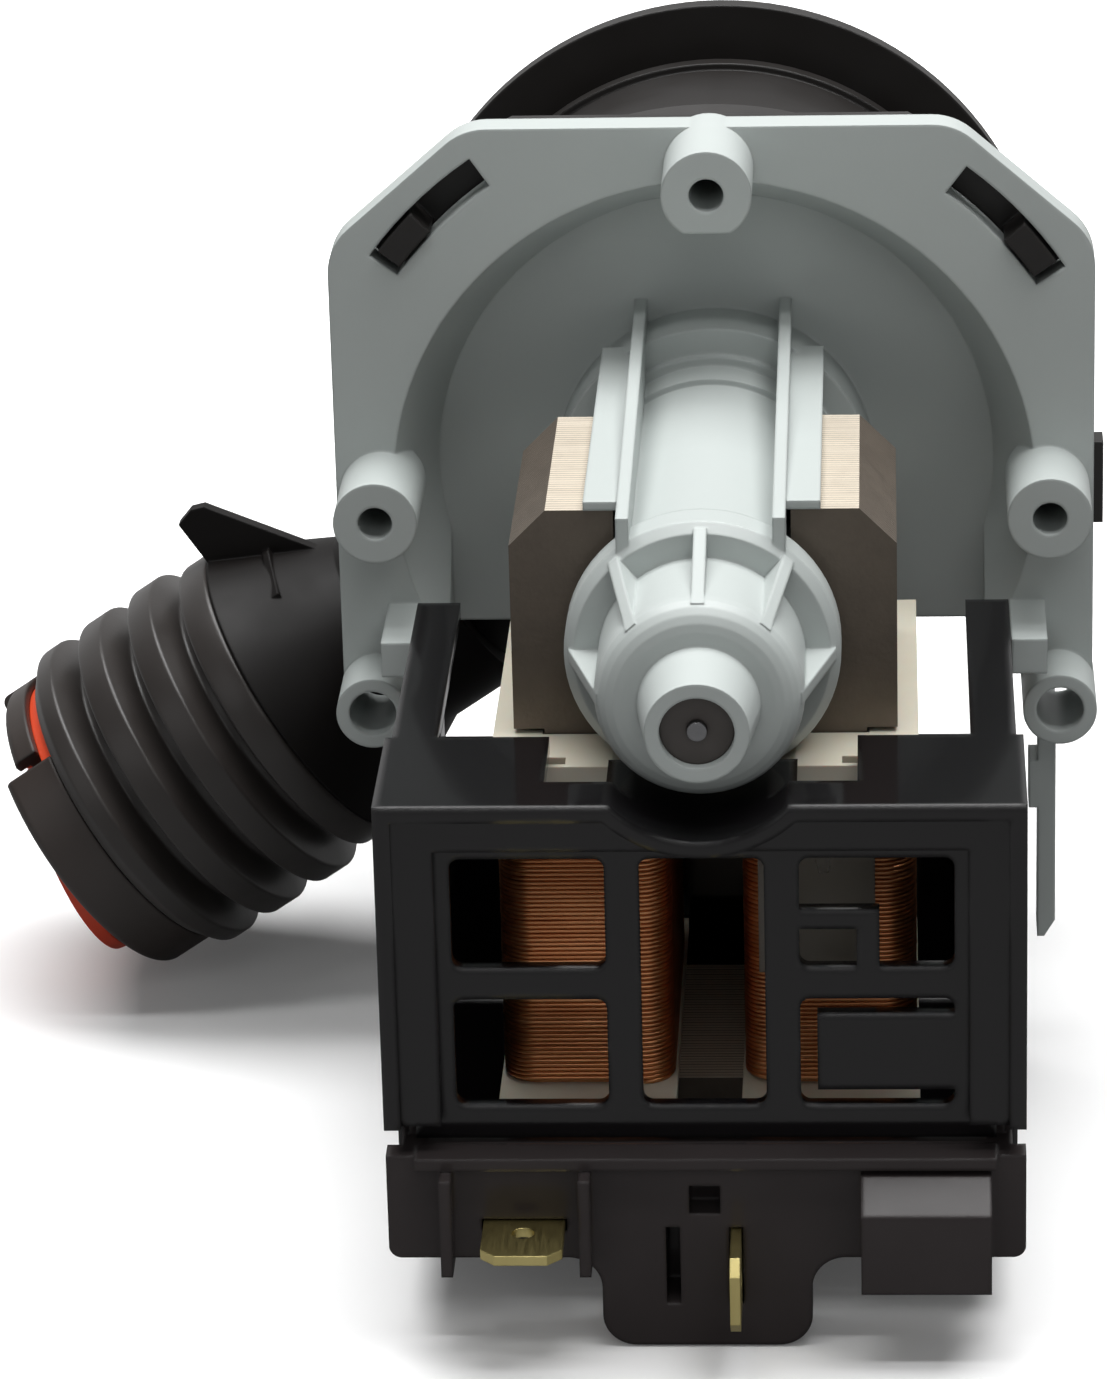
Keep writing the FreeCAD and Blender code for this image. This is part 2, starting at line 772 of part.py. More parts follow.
def make_bobbin(side, sign):
    """One coil former: a tube round the limb between two flanges."""
    tube_x, tube_y, wound_x, wound_y = coil_sizes()
    middle = "(core_front + core_back) / 2"
    centre = "(%d * leg_centre)" % sign
    tube = block("tube_" + side, ("%s - %s" % (centre, tube_x), "%s + %s" % (centre, tube_x)),
                 ("%s - %s" % (middle, tube_y), "%s + %s" % (middle, tube_y)),
                 ("coil_foot - flange_thick", "flange_top"))
    reach_x = "(%s + 2 * wire_radius + wire_lift + flange_margin)" % wound_x
    reach_y = "(%s - flange_front)" % middle
    wide = ("%s - %s" % (centre, reach_x), "%s + %s" % (centre, reach_x))
    deep = ("%s - %s" % (middle, reach_y), "%s + %s" % (middle, reach_y))
    top = block("top_flange_" + side, wide, deep, ("flange_foot", "flange_top"))
    bottom = block("bottom_flange_" + side, wide, deep, ("coil_foot - flange_thick", "coil_foot"))
    limb_x = "(limb_half + bobbin_gap)"
    limb_y = "((core_back - core_front) / 2 + bobbin_gap)"
    notch_x = "(%s + %d * 0.12 * core_half)" % (centre, sign)
    cuts = [
        block("limb_space_" + side, ("%s - %s" % (centre, limb_x), "%s + %s" % (centre, limb_x)),
              ("%s - %s" % (middle, limb_y), "%s + %s" % (middle, limb_y)),
              ("coil_foot - 2 * flange_thick", "flange_top + 1")),
        rod("can_space_" + side, "shoulder_radius + joint_gap", "flange_front - 1", "-flange_front"),
        block("wire_way_" + side, ("%s - wire_notch / 2" % notch_x, "%s + wire_notch / 2" % notch_x),
              ("flange_front + 0.4 * wire_notch", "flange_front + 1.4 * wire_notch"),
              ("flange_foot - 1", "flange_top + 1")),
    ]
    finish("bobbin_" + side, cut("bobbin_" + side, joined("former_" + side, [tube, top, bottom]), cuts))


def make_winding_core(side, sign):
    """The inner layers of a coil, as one plain rounded block round the bobbin's tube."""
    tube_x, tube_y, wound_x, wound_y = coil_sizes()
    middle = "(core_front + core_back) / 2"
    centre = "(%d * leg_centre)" % sign
    solid = block("layers_" + side, ("%s - %s" % (centre, wound_x), "%s + %s" % (centre, wound_x)),
                  ("%s - %s" % (middle, wound_y), "%s + %s" % (middle, wound_y)),
                  ("coil_foot", "flange_foot"))

    def upright(edge):
        ends = edge.Vertexes
        return abs(ends[0].Z - ends[-1].Z) > 1

    solid = softened("rounded_layers_" + side, solid, "turn_round", upright)
    space = block("former_space_" + side, ("%s - %s" % (centre, tube_x), "%s + %s" % (centre, tube_x)),
                  ("%s - %s" % (middle, tube_y), "%s + %s" % (middle, tube_y)),
                  ("coil_foot - 1", "flange_foot + 1"))
    finish("winding_core_" + side, cut("winding_core_" + side, solid, [space]))


def turn_edges(half_x, half_y, bend, low, pitch):
    """One turn at one height, and an S of two arcs that climbs by a pitch along its far run."""
    flat_x = half_x - bend
    flat_y = half_y - bend
    reach = bend * math.sqrt(0.5)

    def corner(sign_x, sign_y, start_on_x, height):
        middle = Vector(sign_x * (flat_x + reach), sign_y * (flat_y + reach), height)
        on_x_face = Vector(sign_x * half_x, sign_y * flat_y, height)
        on_y_face = Vector(sign_x * flat_x, sign_y * half_y, height)
        ends = (on_x_face, on_y_face) if start_on_x else (on_y_face, on_x_face)
        return Part.Arc(ends[0], middle, ends[1]).toShape()

    def run(first, second):
        return Part.LineSegment(first, second).toShape()

    edges = [run(Vector(-flat_x, -half_y, low), Vector(flat_x, -half_y, low))]
    edges.append(corner(1, -1, False, low))
    edges.append(run(Vector(half_x, -flat_y, low), Vector(half_x, flat_y, low)))
    edges.append(corner(1, 1, True, low))
    # the climb: two arcs that leave and arrive level, half a pitch each
    start = Vector(flat_x, half_y, low)
    finish_point = Vector(-flat_x, half_y, low + pitch)
    centre = (start + finish_point) * 0.5
    length = flat_x
    rise = pitch / 2
    radius = (length * length + rise * rise) / (2 * rise)
    swing = math.asin(length / radius) / 2
    along = radius * math.sin(swing)
    lift = radius * (1 - math.cos(swing))
    first_middle = start + Vector(-along, 0, lift)
    second_middle = finish_point + Vector(along, 0, -lift)
    edges.append(Part.Arc(start, first_middle, centre).toShape())
    edges.append(Part.Arc(centre, second_middle, finish_point).toShape())
    edges.append(corner(-1, 1, False, low + pitch))
    edges.append(run(Vector(-half_x, flat_y, low + pitch), Vector(-half_x, -flat_y, low + pitch)))
    edges.append(corner(-1, -1, True, low + pitch))
    return edges


def least_gap(edges, wire):
    """The least clear distance from a turn to the next one, measured between points of both."""
    least = 1000.0
    per_turn = 9
    for number in range(len(edges) - per_turn):
        here = edges[number].discretize(Number=60)
        above = edges[number + per_turn].discretize(Number=60)
        for spot in here:
            least = min(least, min(spot.distanceToPoint(other) for other in above))
    return least - 2 * wire


def make_winding(side, sign):
    """The outer layer of a coil: one unbroken wire in level turns that climb behind the limb."""
    wire = mm("wire_radius")
    lift = mm("wire_lift")
    tube_x = mm("limb_half") + mm("bobbin_gap") + mm("bobbin_wall")
    tube_y = (mm("core_back") - mm("core_front")) / 2 + mm("bobbin_gap") + mm("bobbin_wall")
    half_x = tube_x + mm("coil_build") + lift + wire
    half_y = tube_y + mm("coil_build") + lift + wire
    bend = mm("turn_round") + lift + wire
    low = mm("coil_foot") + wire + lift
    high = mm("flange_foot") - wire - lift
    turns = int(mm("turn_count"))
    pitch = (high - low) / turns
    edges = []
    for number in range(turns):
        edges += turn_edges(half_x, half_y, bend, low + number * pitch, pitch)
    path = Part.Wire(edges)
    start = Vector(mm("turn_round") - half_x + lift + wire, -half_y, low)
    ring = Part.Wire([Part.Circle(start, Vector(1, 0, 0), wire).toShape()])
    tube = path.makePipeShell([ring], True, False)
    gap = least_gap(edges, wire)
    expected = math.pi * wire * wire * path.Length
    print("winding_%s: gap between turns %.3f mm, volume %.2f of %.2f"
          % (side, gap, tube.Volume, expected))
    thing = doc.addObject("Part::Feature", "winding_" + side)
    thing.Shape = tube
    middle = "(core_front + core_back) / 2"
    put(thing, "%d * leg_centre" % sign, "boss_reach + " + middle, "0")
    finish("winding_" + side, thing, home="placed")


def make_protector():
    """The thermal cut-out in its clear sleeve, flat against the front of the right-hand coil."""
    tube_x, tube_y, wound_x, wound_y = coil_sizes()
    coil_face = "((core_front + core_back) / 2 - %s - 2 * wire_radius - wire_lift - 0.1)" % wound_y
    back = "(%s - sleeve_wall)" % coil_face
    wide = ("cutout_x - cutout_width / 2", "cutout_x + cutout_width / 2")
    body = block("thermal_protector", wide, ("%s - cutout_thick" % back, back),
                 ("cutout_top - cutout_height", "cutout_top - 1"))
    gap = "sleeve_wall + press_gap"
    outer = block("sleeve_outer", ("%s - %s" % (wide[0], gap), "%s + %s" % (wide[1], gap)),
                  ("%s - cutout_thick - %s" % (back, gap), "%s + sleeve_wall" % back),
                  ("cutout_top - cutout_height - 1", "cutout_top"))
    inner = block("sleeve_inner", ("%s - press_gap" % wide[0], "%s + press_gap" % wide[1]),
                  ("%s - cutout_thick - press_gap" % back, "%s + press_gap" % back),
                  ("cutout_top - cutout_height - 2", "cutout_top + 1"))
    finish("thermal_protector", body)
    finish("protector_sleeve", cut("protector_sleeve", outer, [inner]))


def window(name, x, y, z):
    """An opening through the front panel, with rounded corners."""
    def along_y(edge):
        ends = edge.Vertexes
        return abs(ends[0].Y - ends[-1].Y) > 1

    return softened(name + "_rounded", block(name, x, y, z), "window_round", along_y)


def make_coil_box():
    """Black cover over the coils: framed and windowed front, top, sides and two arms."""
    inner_half = "(box_half - box_wall)"
    panel_back = "(panel_front + panel_thick)"
    shell = block("box_shell", ("-box_half", "box_half"), ("box_front", "box_top_back"),
                  ("box_foot", "box_top"))
    space = block("box_space", ("-" + inner_half, inner_half), (panel_back, "box_top_back + 1"),
                  ("box_foot - 1", "box_top - box_wall"))
    ledge = block("box_ledge", ("-" + inner_half, inner_half), ("box_front - 1", "box_front + ledge_depth"),
                  ("box_foot - 1", "box_top - box_wall"))
    recess = block("box_recess", ("-panel_half", "panel_half"), ("box_front - 1", "panel_front"),
                   ("box_foot - 1", "panel_top"))
    frame = cut("box_frame", shell, [space, ledge, recess])
    skirt = block("box_skirt", ("-ledge_half", "ledge_half"), ("panel_front", panel_back),
                  ("block_top + 0.4", "box_foot"))
    trough_back = "flange_front - joint_gap"
    trough = shared("box_trough", rod("trough_round", "dip_radius + box_wall", "box_front", trough_back),
                    block("trough_half", ("-box_half", "box_half"), ("box_front", trough_back),
                          ("box_foot", "box_top")))
    arm_top = block("arm_top", ("arm_inner", "arm_outer"), ("box_top_back - 1", "arm_back"),
                    ("box_top - box_wall", "box_top"))
    arm_web = block("arm_web", ("arm_outer - box_wall", "arm_outer"), ("box_top_back - 1", "arm_back"),
                    ("arm_foot", "box_top"))
    arm_root = block("arm_root", ("arm_inner", "box_half"), ("box_top_back - 2", "box_top_back"),
                     ("arm_foot", "box_top"))
    hook_back = "(hook_thick - clip_reach)"
    barb_high = ("clip_foot + joint_gap", "clip_top - clip_wall - joint_gap")
    tongue = block("arm_tongue", ("arm_outer - box_wall", "arm_outer"),
                   ("arm_back - 1", hook_back + " + joint_gap + hook_thick"), barb_high)
    barb = block("arm_barb", ("arm_outer - 0.5", "clip_x - clip_wall - 0.2"),
                 (hook_back + " + joint_gap", hook_back + " + joint_gap + hook_thick"), barb_high)
    arm = joined("arm_right", [arm_top, arm_web, arm_root, tongue, barb])
    rear_front = "(core_front + core_back - flange_front + joint_gap)"
    rear_back = "(%s + box_wall)" % rear_front
    floor_top = "(yoke_foot - floor_gap)"
    side = block("box_side", ("arm_outer - box_wall", "arm_outer"), ("block_back + joint_gap", rear_back),
                 (floor_top + " - box_wall", "arm_foot + 1"))
    rear = block("box_rear", ("-arm_outer", "arm_outer"), (rear_front, rear_back),
                 (floor_top + " - box_wall", "rear_top"))
    floor = block("box_floor", ("-arm_outer", "arm_outer"), ("tab_back + joint_gap", rear_back),
                  (floor_top + " - box_wall", floor_top))
    tub = both("box_side_left", side) + [rear, floor]
    solid = joined("box_solid", [frame, skirt, trough] + both("arm_left", arm) + tub)
    through = ("panel_front - 3", panel_back + " + 1")
    left = ("-outer_window_outer", "-outer_window_inner")
    cuts = [rod("box_dip", "dip_radius", "box_front - 1", "box_top_back + 1")]
    cuts.append(block("box_notch", ("-notch_half", "notch_half"), ("notch_front", "box_top_back + 1"),
                      ("box_top - box_wall", "box_top + 1")))
    cuts.append(window("window_top_left", left, through, ("window_sill", "window_top")))
    cuts.append(window("window_low_left", left, through, ("window_foot", "window_head")))
    cuts.append(window("window_middle", ("-middle_window_half", "middle_window_half"), through,
                       ("window_foot", "window_top")))
    right = ("outer_window_inner", "outer_window_outer")
    bar = block("window_bar", ("outer_window_inner - 1", "strip_edge"), through, ("bar_foot", "bar_top"))
    strip = block("window_strip", ("strip_edge - bar_width", "strip_edge"), through,
                  ("window_sill - 1", "bar_top"))
    upper = window("window_top_right", right, through, ("window_sill", "window_top"))
    cuts.append(cut("window_top_right_open", upper, [bar, strip]))
    tongue = block("window_tongue", ("outer_window_inner + tongue_gap", "outer_window_outer + 1"), through,
                   ("window_foot + tongue_gap", "window_head - tongue_gap"))
    lower = window("window_low_right", right, through, ("window_foot", "window_head"))
    cuts.append(cut("window_low_right_open", lower, [tongue]))
    finish("coil_box", cut("coil_box", solid, cuts))


def tab_slot(name, centre_x, centre_z, flat):
    """The opening in the terminal block that a tab passes through."""
    wide = "(tab_width / 2 + tab_slot_gap)"
    thin = "(tab_thick / 2 + tab_slot_gap)"
    reach = (wide, thin) if flat else (thin, wide)
    return block(name, ("%s - %s" % (centre_x, reach[0]), "%s + %s" % (centre_x, reach[0])),
                 ("tab_tip", "block_back + 1"),
                 ("%s - %s" % (centre_z, reach[1]), "%s + %s" % (centre_z, reach[1])))


def make_terminal_block():
    """Black lower block with a rounded lobe, guide ribs, slots and the keyed box on the right."""
    corners = [
        ("-block_half", "block_top"),
        ("block_half", "block_top"),
        ("block_half", "block_foot"),
        ("lobe_half", "block_foot"),
        ("lobe_half", "lobe_foot"),
        ("-lobe_half", "lobe_foot"),
        ("-lobe_half", "block_foot"),
        ("-block_half", "block_foot"),
    ]
    face_back = "(block_front + block_thick)"
    plate = slab("block_plate", "XZ_Plane", corners, "block_front", face_back)
    doc.recompute()
    thick = mm("block_thick")

    def at_lobe(edge):
        return near(edge.Length, thick) and near(abs(edge.CenterOfMass.x), mm("lobe_half"))

    def at_foot(edge):
        middle = edge.CenterOfMass
        outer = near(abs(middle.x), mm("block_half")) and near(middle.z, mm("block_foot"))
        return near(edge.Length, thick) and outer

    plate = softened("block_rounded", plate, "lobe_round", at_lobe)
    plate = softened("block_corners", plate, "block_round", at_foot)
    solids = [plate]
    solids.append(block("block_body", ("1 - block_half", "block_half - 1"), (face_back, "block_back"),
                        ("block_foot + 1", "block_top")))
    solids.append(block("lobe_body", ("1 - lobe_half", "lobe_half - 1"), (face_back, "block_back"),
                        ("lobe_foot + lobe_round", "block_top")))
    solids.append(block("block_ledge", ("-ledge_half", "ledge_half"),
                        ("block_front - ledge_reach", face_back),
                        ("block_top - ledge_reach", "block_top + 0.1")))
    post_outer = "box_half - box_wall - joint_gap"
    post = block("block_post", (post_outer + " - post_thick", post_outer),
                 ("panel_front + panel_thick + joint_gap", "block_back"), ("block_top - 1", "post_top"))
    solids += both("block_post_left", post)
    for number, place in enumerate(("guide_left_x", "guide_right_x")):
        solids.append(block("guide_%d" % number, (place + " - guide_thick / 2", place + " + guide_thick / 2"),
                            ("block_front - guide_reach", face_back), ("guide_foot", "block_top - 1")))
    key_corners = [
        ("block_front + 1", "key_block_top"),
        ("block_front - 0.2 * key_block_reach", "key_block_top"),
        ("block_front - key_block_reach", "key_block_top - 0.5 * key_block_reach"),
        ("block_front - key_block_reach", "key_block_foot"),
        ("block_front + 1", "key_block_foot"),
    ]
    solids.append(slab("key_block", "YZ_Plane", key_corners, "key_block_x - key_block_half",
                       "key_block_x + key_block_half"))
    cuts = [tab_slot("flat_slot", "flat_tab_x", "flat_tab_z", True)]
    cuts.append(tab_slot("upright_slot", "upright_tab_x", "upright_tab_z", False))
    spare_x = "(-upright_tab_x - 0.3)"
    thin = "(tab_thick / 2 + tab_slot_gap)"
    wide = "(tab_width / 2 + tab_slot_gap)"
    cuts.append(block("spare_slot", ("%s - %s" % (spare_x, thin), "%s + %s" % (spare_x, thin)),
                      ("tab_tip", face_back + " + 2.5"),
                      ("upright_tab_z - " + wide, "upright_tab_z + " + wide)))
    cuts.append(block("square_hole", ("-1.3", "1.1"), ("block_front - 1", face_back + " + 0.5"),
                      ("block_top - 5.0", "block_top - 2.6")))
    cuts.append(block("block_hollow", ("lobe_half + 2", "block_half - 3"),
                      (face_back + " + 0.5", "block_back + 1"), ("block_foot + 2.5", "block_top - 1.5")))
    cuts.append(block("key_hollow",
                      ("key_block_x - key_block_half + 1.2", "key_block_x + key_block_half - 1.2"),
                      ("block_front - key_block_reach + 1.2", "block_front + 3"),
                      ("key_block_foot - 1", "key_block_top - 2.6")))
    finish("terminal_block", cut("terminal_block", joined("block_solid", solids), cuts))


def make_tab(node, role, centre_x, centre_z, flat):
    """A brass push-on tab, 6.3 mm wide, with bevelled tip corners and a small hole."""
    bevel = "0.18 * tab_width"
    outline = [
        ("tab_back", "-tab_width / 2"),
        ("tab_back", "tab_width / 2"),
        ("tab_tip + %s" % bevel, "tab_width / 2"),
        ("tab_tip", "tab_width / 2 - %s" % bevel),
        ("tab_tip", "%s - tab_width / 2" % bevel),
        ("tab_tip + %s" % bevel, "-tab_width / 2"),
    ]
    hole_y = "tab_tip + 0.62 * tab_width"
    if flat:
        corners = [("%s + %s" % (centre_x, width), depth) for depth, width in outline]
        blade = slab(node + "_blade", role, corners, "%s - tab_thick / 2" % centre_z,
                     "%s + tab_thick / 2" % centre_z)
        hole = rod(node + "_hole", "tab_hole", "%s - tab_thick" % centre_z, "%s + tab_thick" % centre_z,
                   (centre_x, hole_y), UPRIGHT)
    else:
        corners = [(depth, "%s + %s" % (centre_z, width)) for depth, width in outline]
        blade = slab(node + "_blade", role, corners, "%s - tab_thick / 2" % centre_x,
                     "%s + tab_thick / 2" % centre_x)
        hole = rod(node + "_hole", "tab_hole", "%s - tab_thick" % centre_x, "%s + tab_thick" % centre_x,
                   (hole_y, centre_z), ALONG_X)
    finish(node, cut(node, blade, [hole]))


def outlet_turn():
    """Turns a piece drawn along X so that it points down to the left, its Z towards the upper left."""
    return Rotation(Vector(0, 1, 0), -mm("outlet_drop")) * Rotation(Vector(0, 0, 1), 180)


def along_outlet(name, radius, start, stop):
    """A cylinder on the outlet's axis, placed in the pump's own directions."""
    thing = doc.addObject("Part::Cylinder", name)
    bind(thing, "Radius", radius)
    bind(thing, "Height", "(%s) - (%s)" % (stop, start))
    return put(thing, "outlet_x - (%s) * cos(outlet_drop)" % start, "outlet_depth",
               "outlet_z - (%s) * sin(outlet_drop)" % start, outlet_turn() * ALONG_X)


def make_volute():
    """Pump chamber with its bayonet rim, skirt, collar, brim, inlet spigot and outlet stub."""
    centre = ("volute_x", "volute_z")
    front = "(dish_depth + dish_wall + joint_gap)"
    upper = block("above_skirt", ("-2 * plate_half", "2 * plate_half"), ("0", "chamber_back"),
                  ("skirt_foot", "2 * plate_half"))
    skirt = cut("skirt_ring", rod("skirt_outer", "skirt_radius", "ear_front", front + " + lip_thick"),
                [rod("skirt_inner", "skirt_radius - skirt_wall", "ear_front - 1", front)])
    ears = cut("ear_ring", rod("ear_outer_edge", "ear_reach", "ear_front", "ear_front + ear_thick"),
               [rod("ear_space", "ear_inner", "ear_front - 1", "ear_front + ear_thick + 1")])
    ears = shared("ears", ears, block("ear_limit", ("-ear_half", "ear_half"), ("0", "chamber_back"),
                                      ("skirt_foot", "ear_top")))
    side_ear = block("side_ear", ("skirt_radius - 1", "side_ear_x"),
                     ("ear_front", "ear_front + 1.4 * ear_thick"), ("side_ear_foot", "side_ear_top"))
    solids = [shared("skirt", skirt, upper), ears, side_ear]
    for corner, start in (("right", mm("slot_start") + 1.5),
                          ("left", 178.5 - mm("slot_start_left") - mm("hook_sweep"))):
        solids.append(ring_sector("hook_tooth_" + corner, "slot_inner + joint_gap", "slot_outer - joint_gap",
                                  start, mm("hook_sweep"), "-0.5", "ear_front + 0.1"))
    solids.append(rod("chamber_wall_round", "chamber_radius", front, "collar_front + 1", centre))
    solids.append(rod("chamber_lip_ring", "chamber_lip", front, front + " + lip_thick", centre))
    solids.append(rod("collar", "collar_radius", "collar_front", "collar_back", centre))
    solids.append(rod("collar_bead", "bead_radius", "collar_back - 1.1", "collar_back + 0.4", centre))
    solids.append(rod("collar_groove", "groove_radius", "collar_back", "brim_front", centre))
    solids.append(rod("brim", "brim_radius", "brim_front", "brim_front + brim_thick", centre))
    solids.append(rod("spigot", "spigot_radius", "chamber_back", "spigot_back", centre))
    for number in range(3):
        sector = rod("spigot_lug_%d" % number, "lug_radius", "lug_front", "spigot_back", centre)
        sector.Placement = Placement(Vector(0, 0, 0), ALONG_Y * Rotation(Vector(0, 0, 1), 120 * number + 20))
        bind(sector, "Angle", "lug_sweep")
        solids.append(sector)
    solids.append(along_outlet("outlet_stub", "stub_radius", "chamber_radius - 4", "stub_end"))
    cuts = [rod("chamber_hollow", "chamber_space", front + " - 1", "chamber_back", centre)]
    cuts.append(rod("inlet_bore", "inlet_radius", "chamber_back - 1", "spigot_back + 1", centre))
    brim_back = "brim_front + brim_thick"
    pocket = rod("seal_pocket_outer", "groove_radius - 1.2", "seal_front - 0.1", brim_back + " + 1", centre)
    core = rod("seal_pocket_inner", "spigot_radius", "seal_front - 1", brim_back + " + 2", centre)
    cuts.append(cut("seal_pocket", pocket, [core]))
    groove = rod("gasket_groove_outer", "gasket_inner + gasket_width + 0.1", front + " - 1",
                 front + " + gasket_thick - 0.2", centre)
    cuts.append(cut("gasket_groove", groove, [rod("groove_core", "gasket_inner - 0.1", front + " - 2",
                                                  front + " + 1", centre)]))
    cuts.append(along_outlet("stub_bore_cut", "stub_bore", "chamber_radius / 2", "stub_end + 1"))
    finish("volute", cut("volute", joined("volute_solid", solids), cuts))

    gasket = rod("gasket_outer", "gasket_inner + gasket_width", front + " - joint_gap + 0.05",
                 front + " + gasket_thick - 0.25", centre)
    hole = rod("gasket_hole", "gasket_inner", front + " - 2", front + " + 2", centre)
    finish("chamber_gasket", cut("chamber_gasket", gasket, [hole]))
    seal = rod("seal_round", "seal_outer", "seal_front", "seal_back", centre)
    hole = rod("seal_hole", "spigot_radius + 0.1", "seal_front - 1", "seal_back + 1", centre)
    seal = cut("seal_ring", seal, [hole])
    lip = taper("seal_lip", "seal_outer", "seal_outer + 2", "seal_back - 1.6", "seal_back", centre)
    clear = taper("seal_lip_inside", "seal_outer - 1.4", "seal_outer + 0.6", "seal_back - 1.6", "seal_back",
                  centre)
    finish("sump_seal", joined("sump_seal", [seal, cut("seal_lip_ring", lip, [clear])]))


def finish_on_outlet(node, thing):
    put(thing, "outlet_x", "outlet_depth + boss_reach", "outlet_z", outlet_turn())
    return finish(node, thing, home="outlet")


def outlet_rod(name, radius, start, stop):
    return rod(name, radius, start, stop, ("0", "0"), ALONG_X)


def make_outlet_duct():
    """The duct over the outlet stub: a tube that opens into a cone, with a fin on top."""
    solids = [outlet_rod("duct_tube", "duct_radius", "duct_start", "cone_start")]
    solids.append(taper("duct_cone", "duct_radius", "duct_end_radius", "cone_start", "duct_end",
                        ("0", "0"), ALONG_X))
    corners = [
        ("fin_back", "duct_radius - 0.8"),
        ("fin_crest", "fin_rise - 0.4"),
        ("fin_crest + 1.1", "fin_rise"),
        ("duct_end", "fin_rise - 0.5"),
        ("duct_end", "duct_end_radius - 0.9"),
    ]
    solids.append(slab("duct_fin", "XZ_Plane", corners, "-fin_thick / 2", "fin_thick / 2"))
    corners = [
        ("0", "duct_radius - 1"),
        ("0", "0.86 * duct_end_radius"),
        ("fin_thick", "0.86 * duct_end_radius"),
        ("5.2 * fin_thick", "0.7 * duct_end_radius"),
        ("5.2 * fin_thick", "duct_radius - 1"),
    ]
    solids.append(slab("fin_rib", "YZ_Plane", corners, "fin_rib_at - 0.55 * fin_thick", "fin_rib_at"))
    inner = "(stub_radius + duct_fit)"
    cuts = [outlet_rod("duct_bore", inner, "duct_start - 1", "cone_start + 0.01")]
    cuts.append(taper("cone_bore", inner, "duct_end_radius - duct_wall", "cone_start", "duct_end",
                      ("0", "0"), ALONG_X))
    cuts.append(outlet_rod("cone_mouth", "duct_end_radius - duct_wall", "duct_end - 0.01", "duct_end + 1"))
    finish_on_outlet("outlet_duct", cut("outlet_duct", joined("duct_solid", solids), cuts))


def make_bellows():
    """A wide cuff, then ribs slanted on the duct's side and steep on the other, lofted through circles."""
    rings = [("duct_end + hose_gap", "duct_end_radius"), ("duct_end + hose_cuff", "duct_end_radius")]
    rings.append(("duct_end + hose_cuff + 0.6", "hose_groove"))
    for number in range(int(mm("hose_rib_count"))):
        centre = "hose_first + %d * hose_pitch" % number
        rings.append((centre + " - crest_half - rim_run", "hose_groove"))
        rings.append((centre + " - crest_half", "hose_rib"))
        rings.append((centre + " + crest_half", "hose_rib"))
        rings.append((centre + " + crest_half + foot_run", "hose_groove"))
    rings[-2:] = [(centre, "hose_rib"), ("end_start - hose_gap", "end_radius + 0.2")]
    sections = []
    for number, (place, radius) in enumerate(rings):
        ring = doc.addObject("Part::Circle", "hose_ring_%d" % number)
        bind(ring, "Radius", radius)
        sections.append(put(ring, place, "0", "0", ALONG_X))
    skin = doc.addObject("Part::Loft", "hose_skin")
    skin.Sections = sections
    skin.Solid = True
    skin.Ruled = True
    bore = outlet_rod("hose_bore_cut", "hose_bore", "duct_end - 1", "end_start + 1")
    finish_on_outlet("bellows", cut("bellows", skin, [bore]))


def outlet_sector(name, radius, start, stop, bearing, sweep):
    """Part of a cylinder on the outlet's axis, from a bearing that runs from its +Y towards its +Z."""
    thing = outlet_rod(name, radius, start, stop)
    thing.Placement = Placement(Vector(0, 0, 0), ALONG_X * Rotation(Vector(0, 0, 1), bearing + 90))
    bind(thing, "Angle", sweep)
    return thing


def cross_rod(name, radius, half_start, half_stop):
    """A cylinder on the flap's hinge line."""
    return rod(name, radius, half_start, half_stop, ("hinge_reach", "hinge_height"))


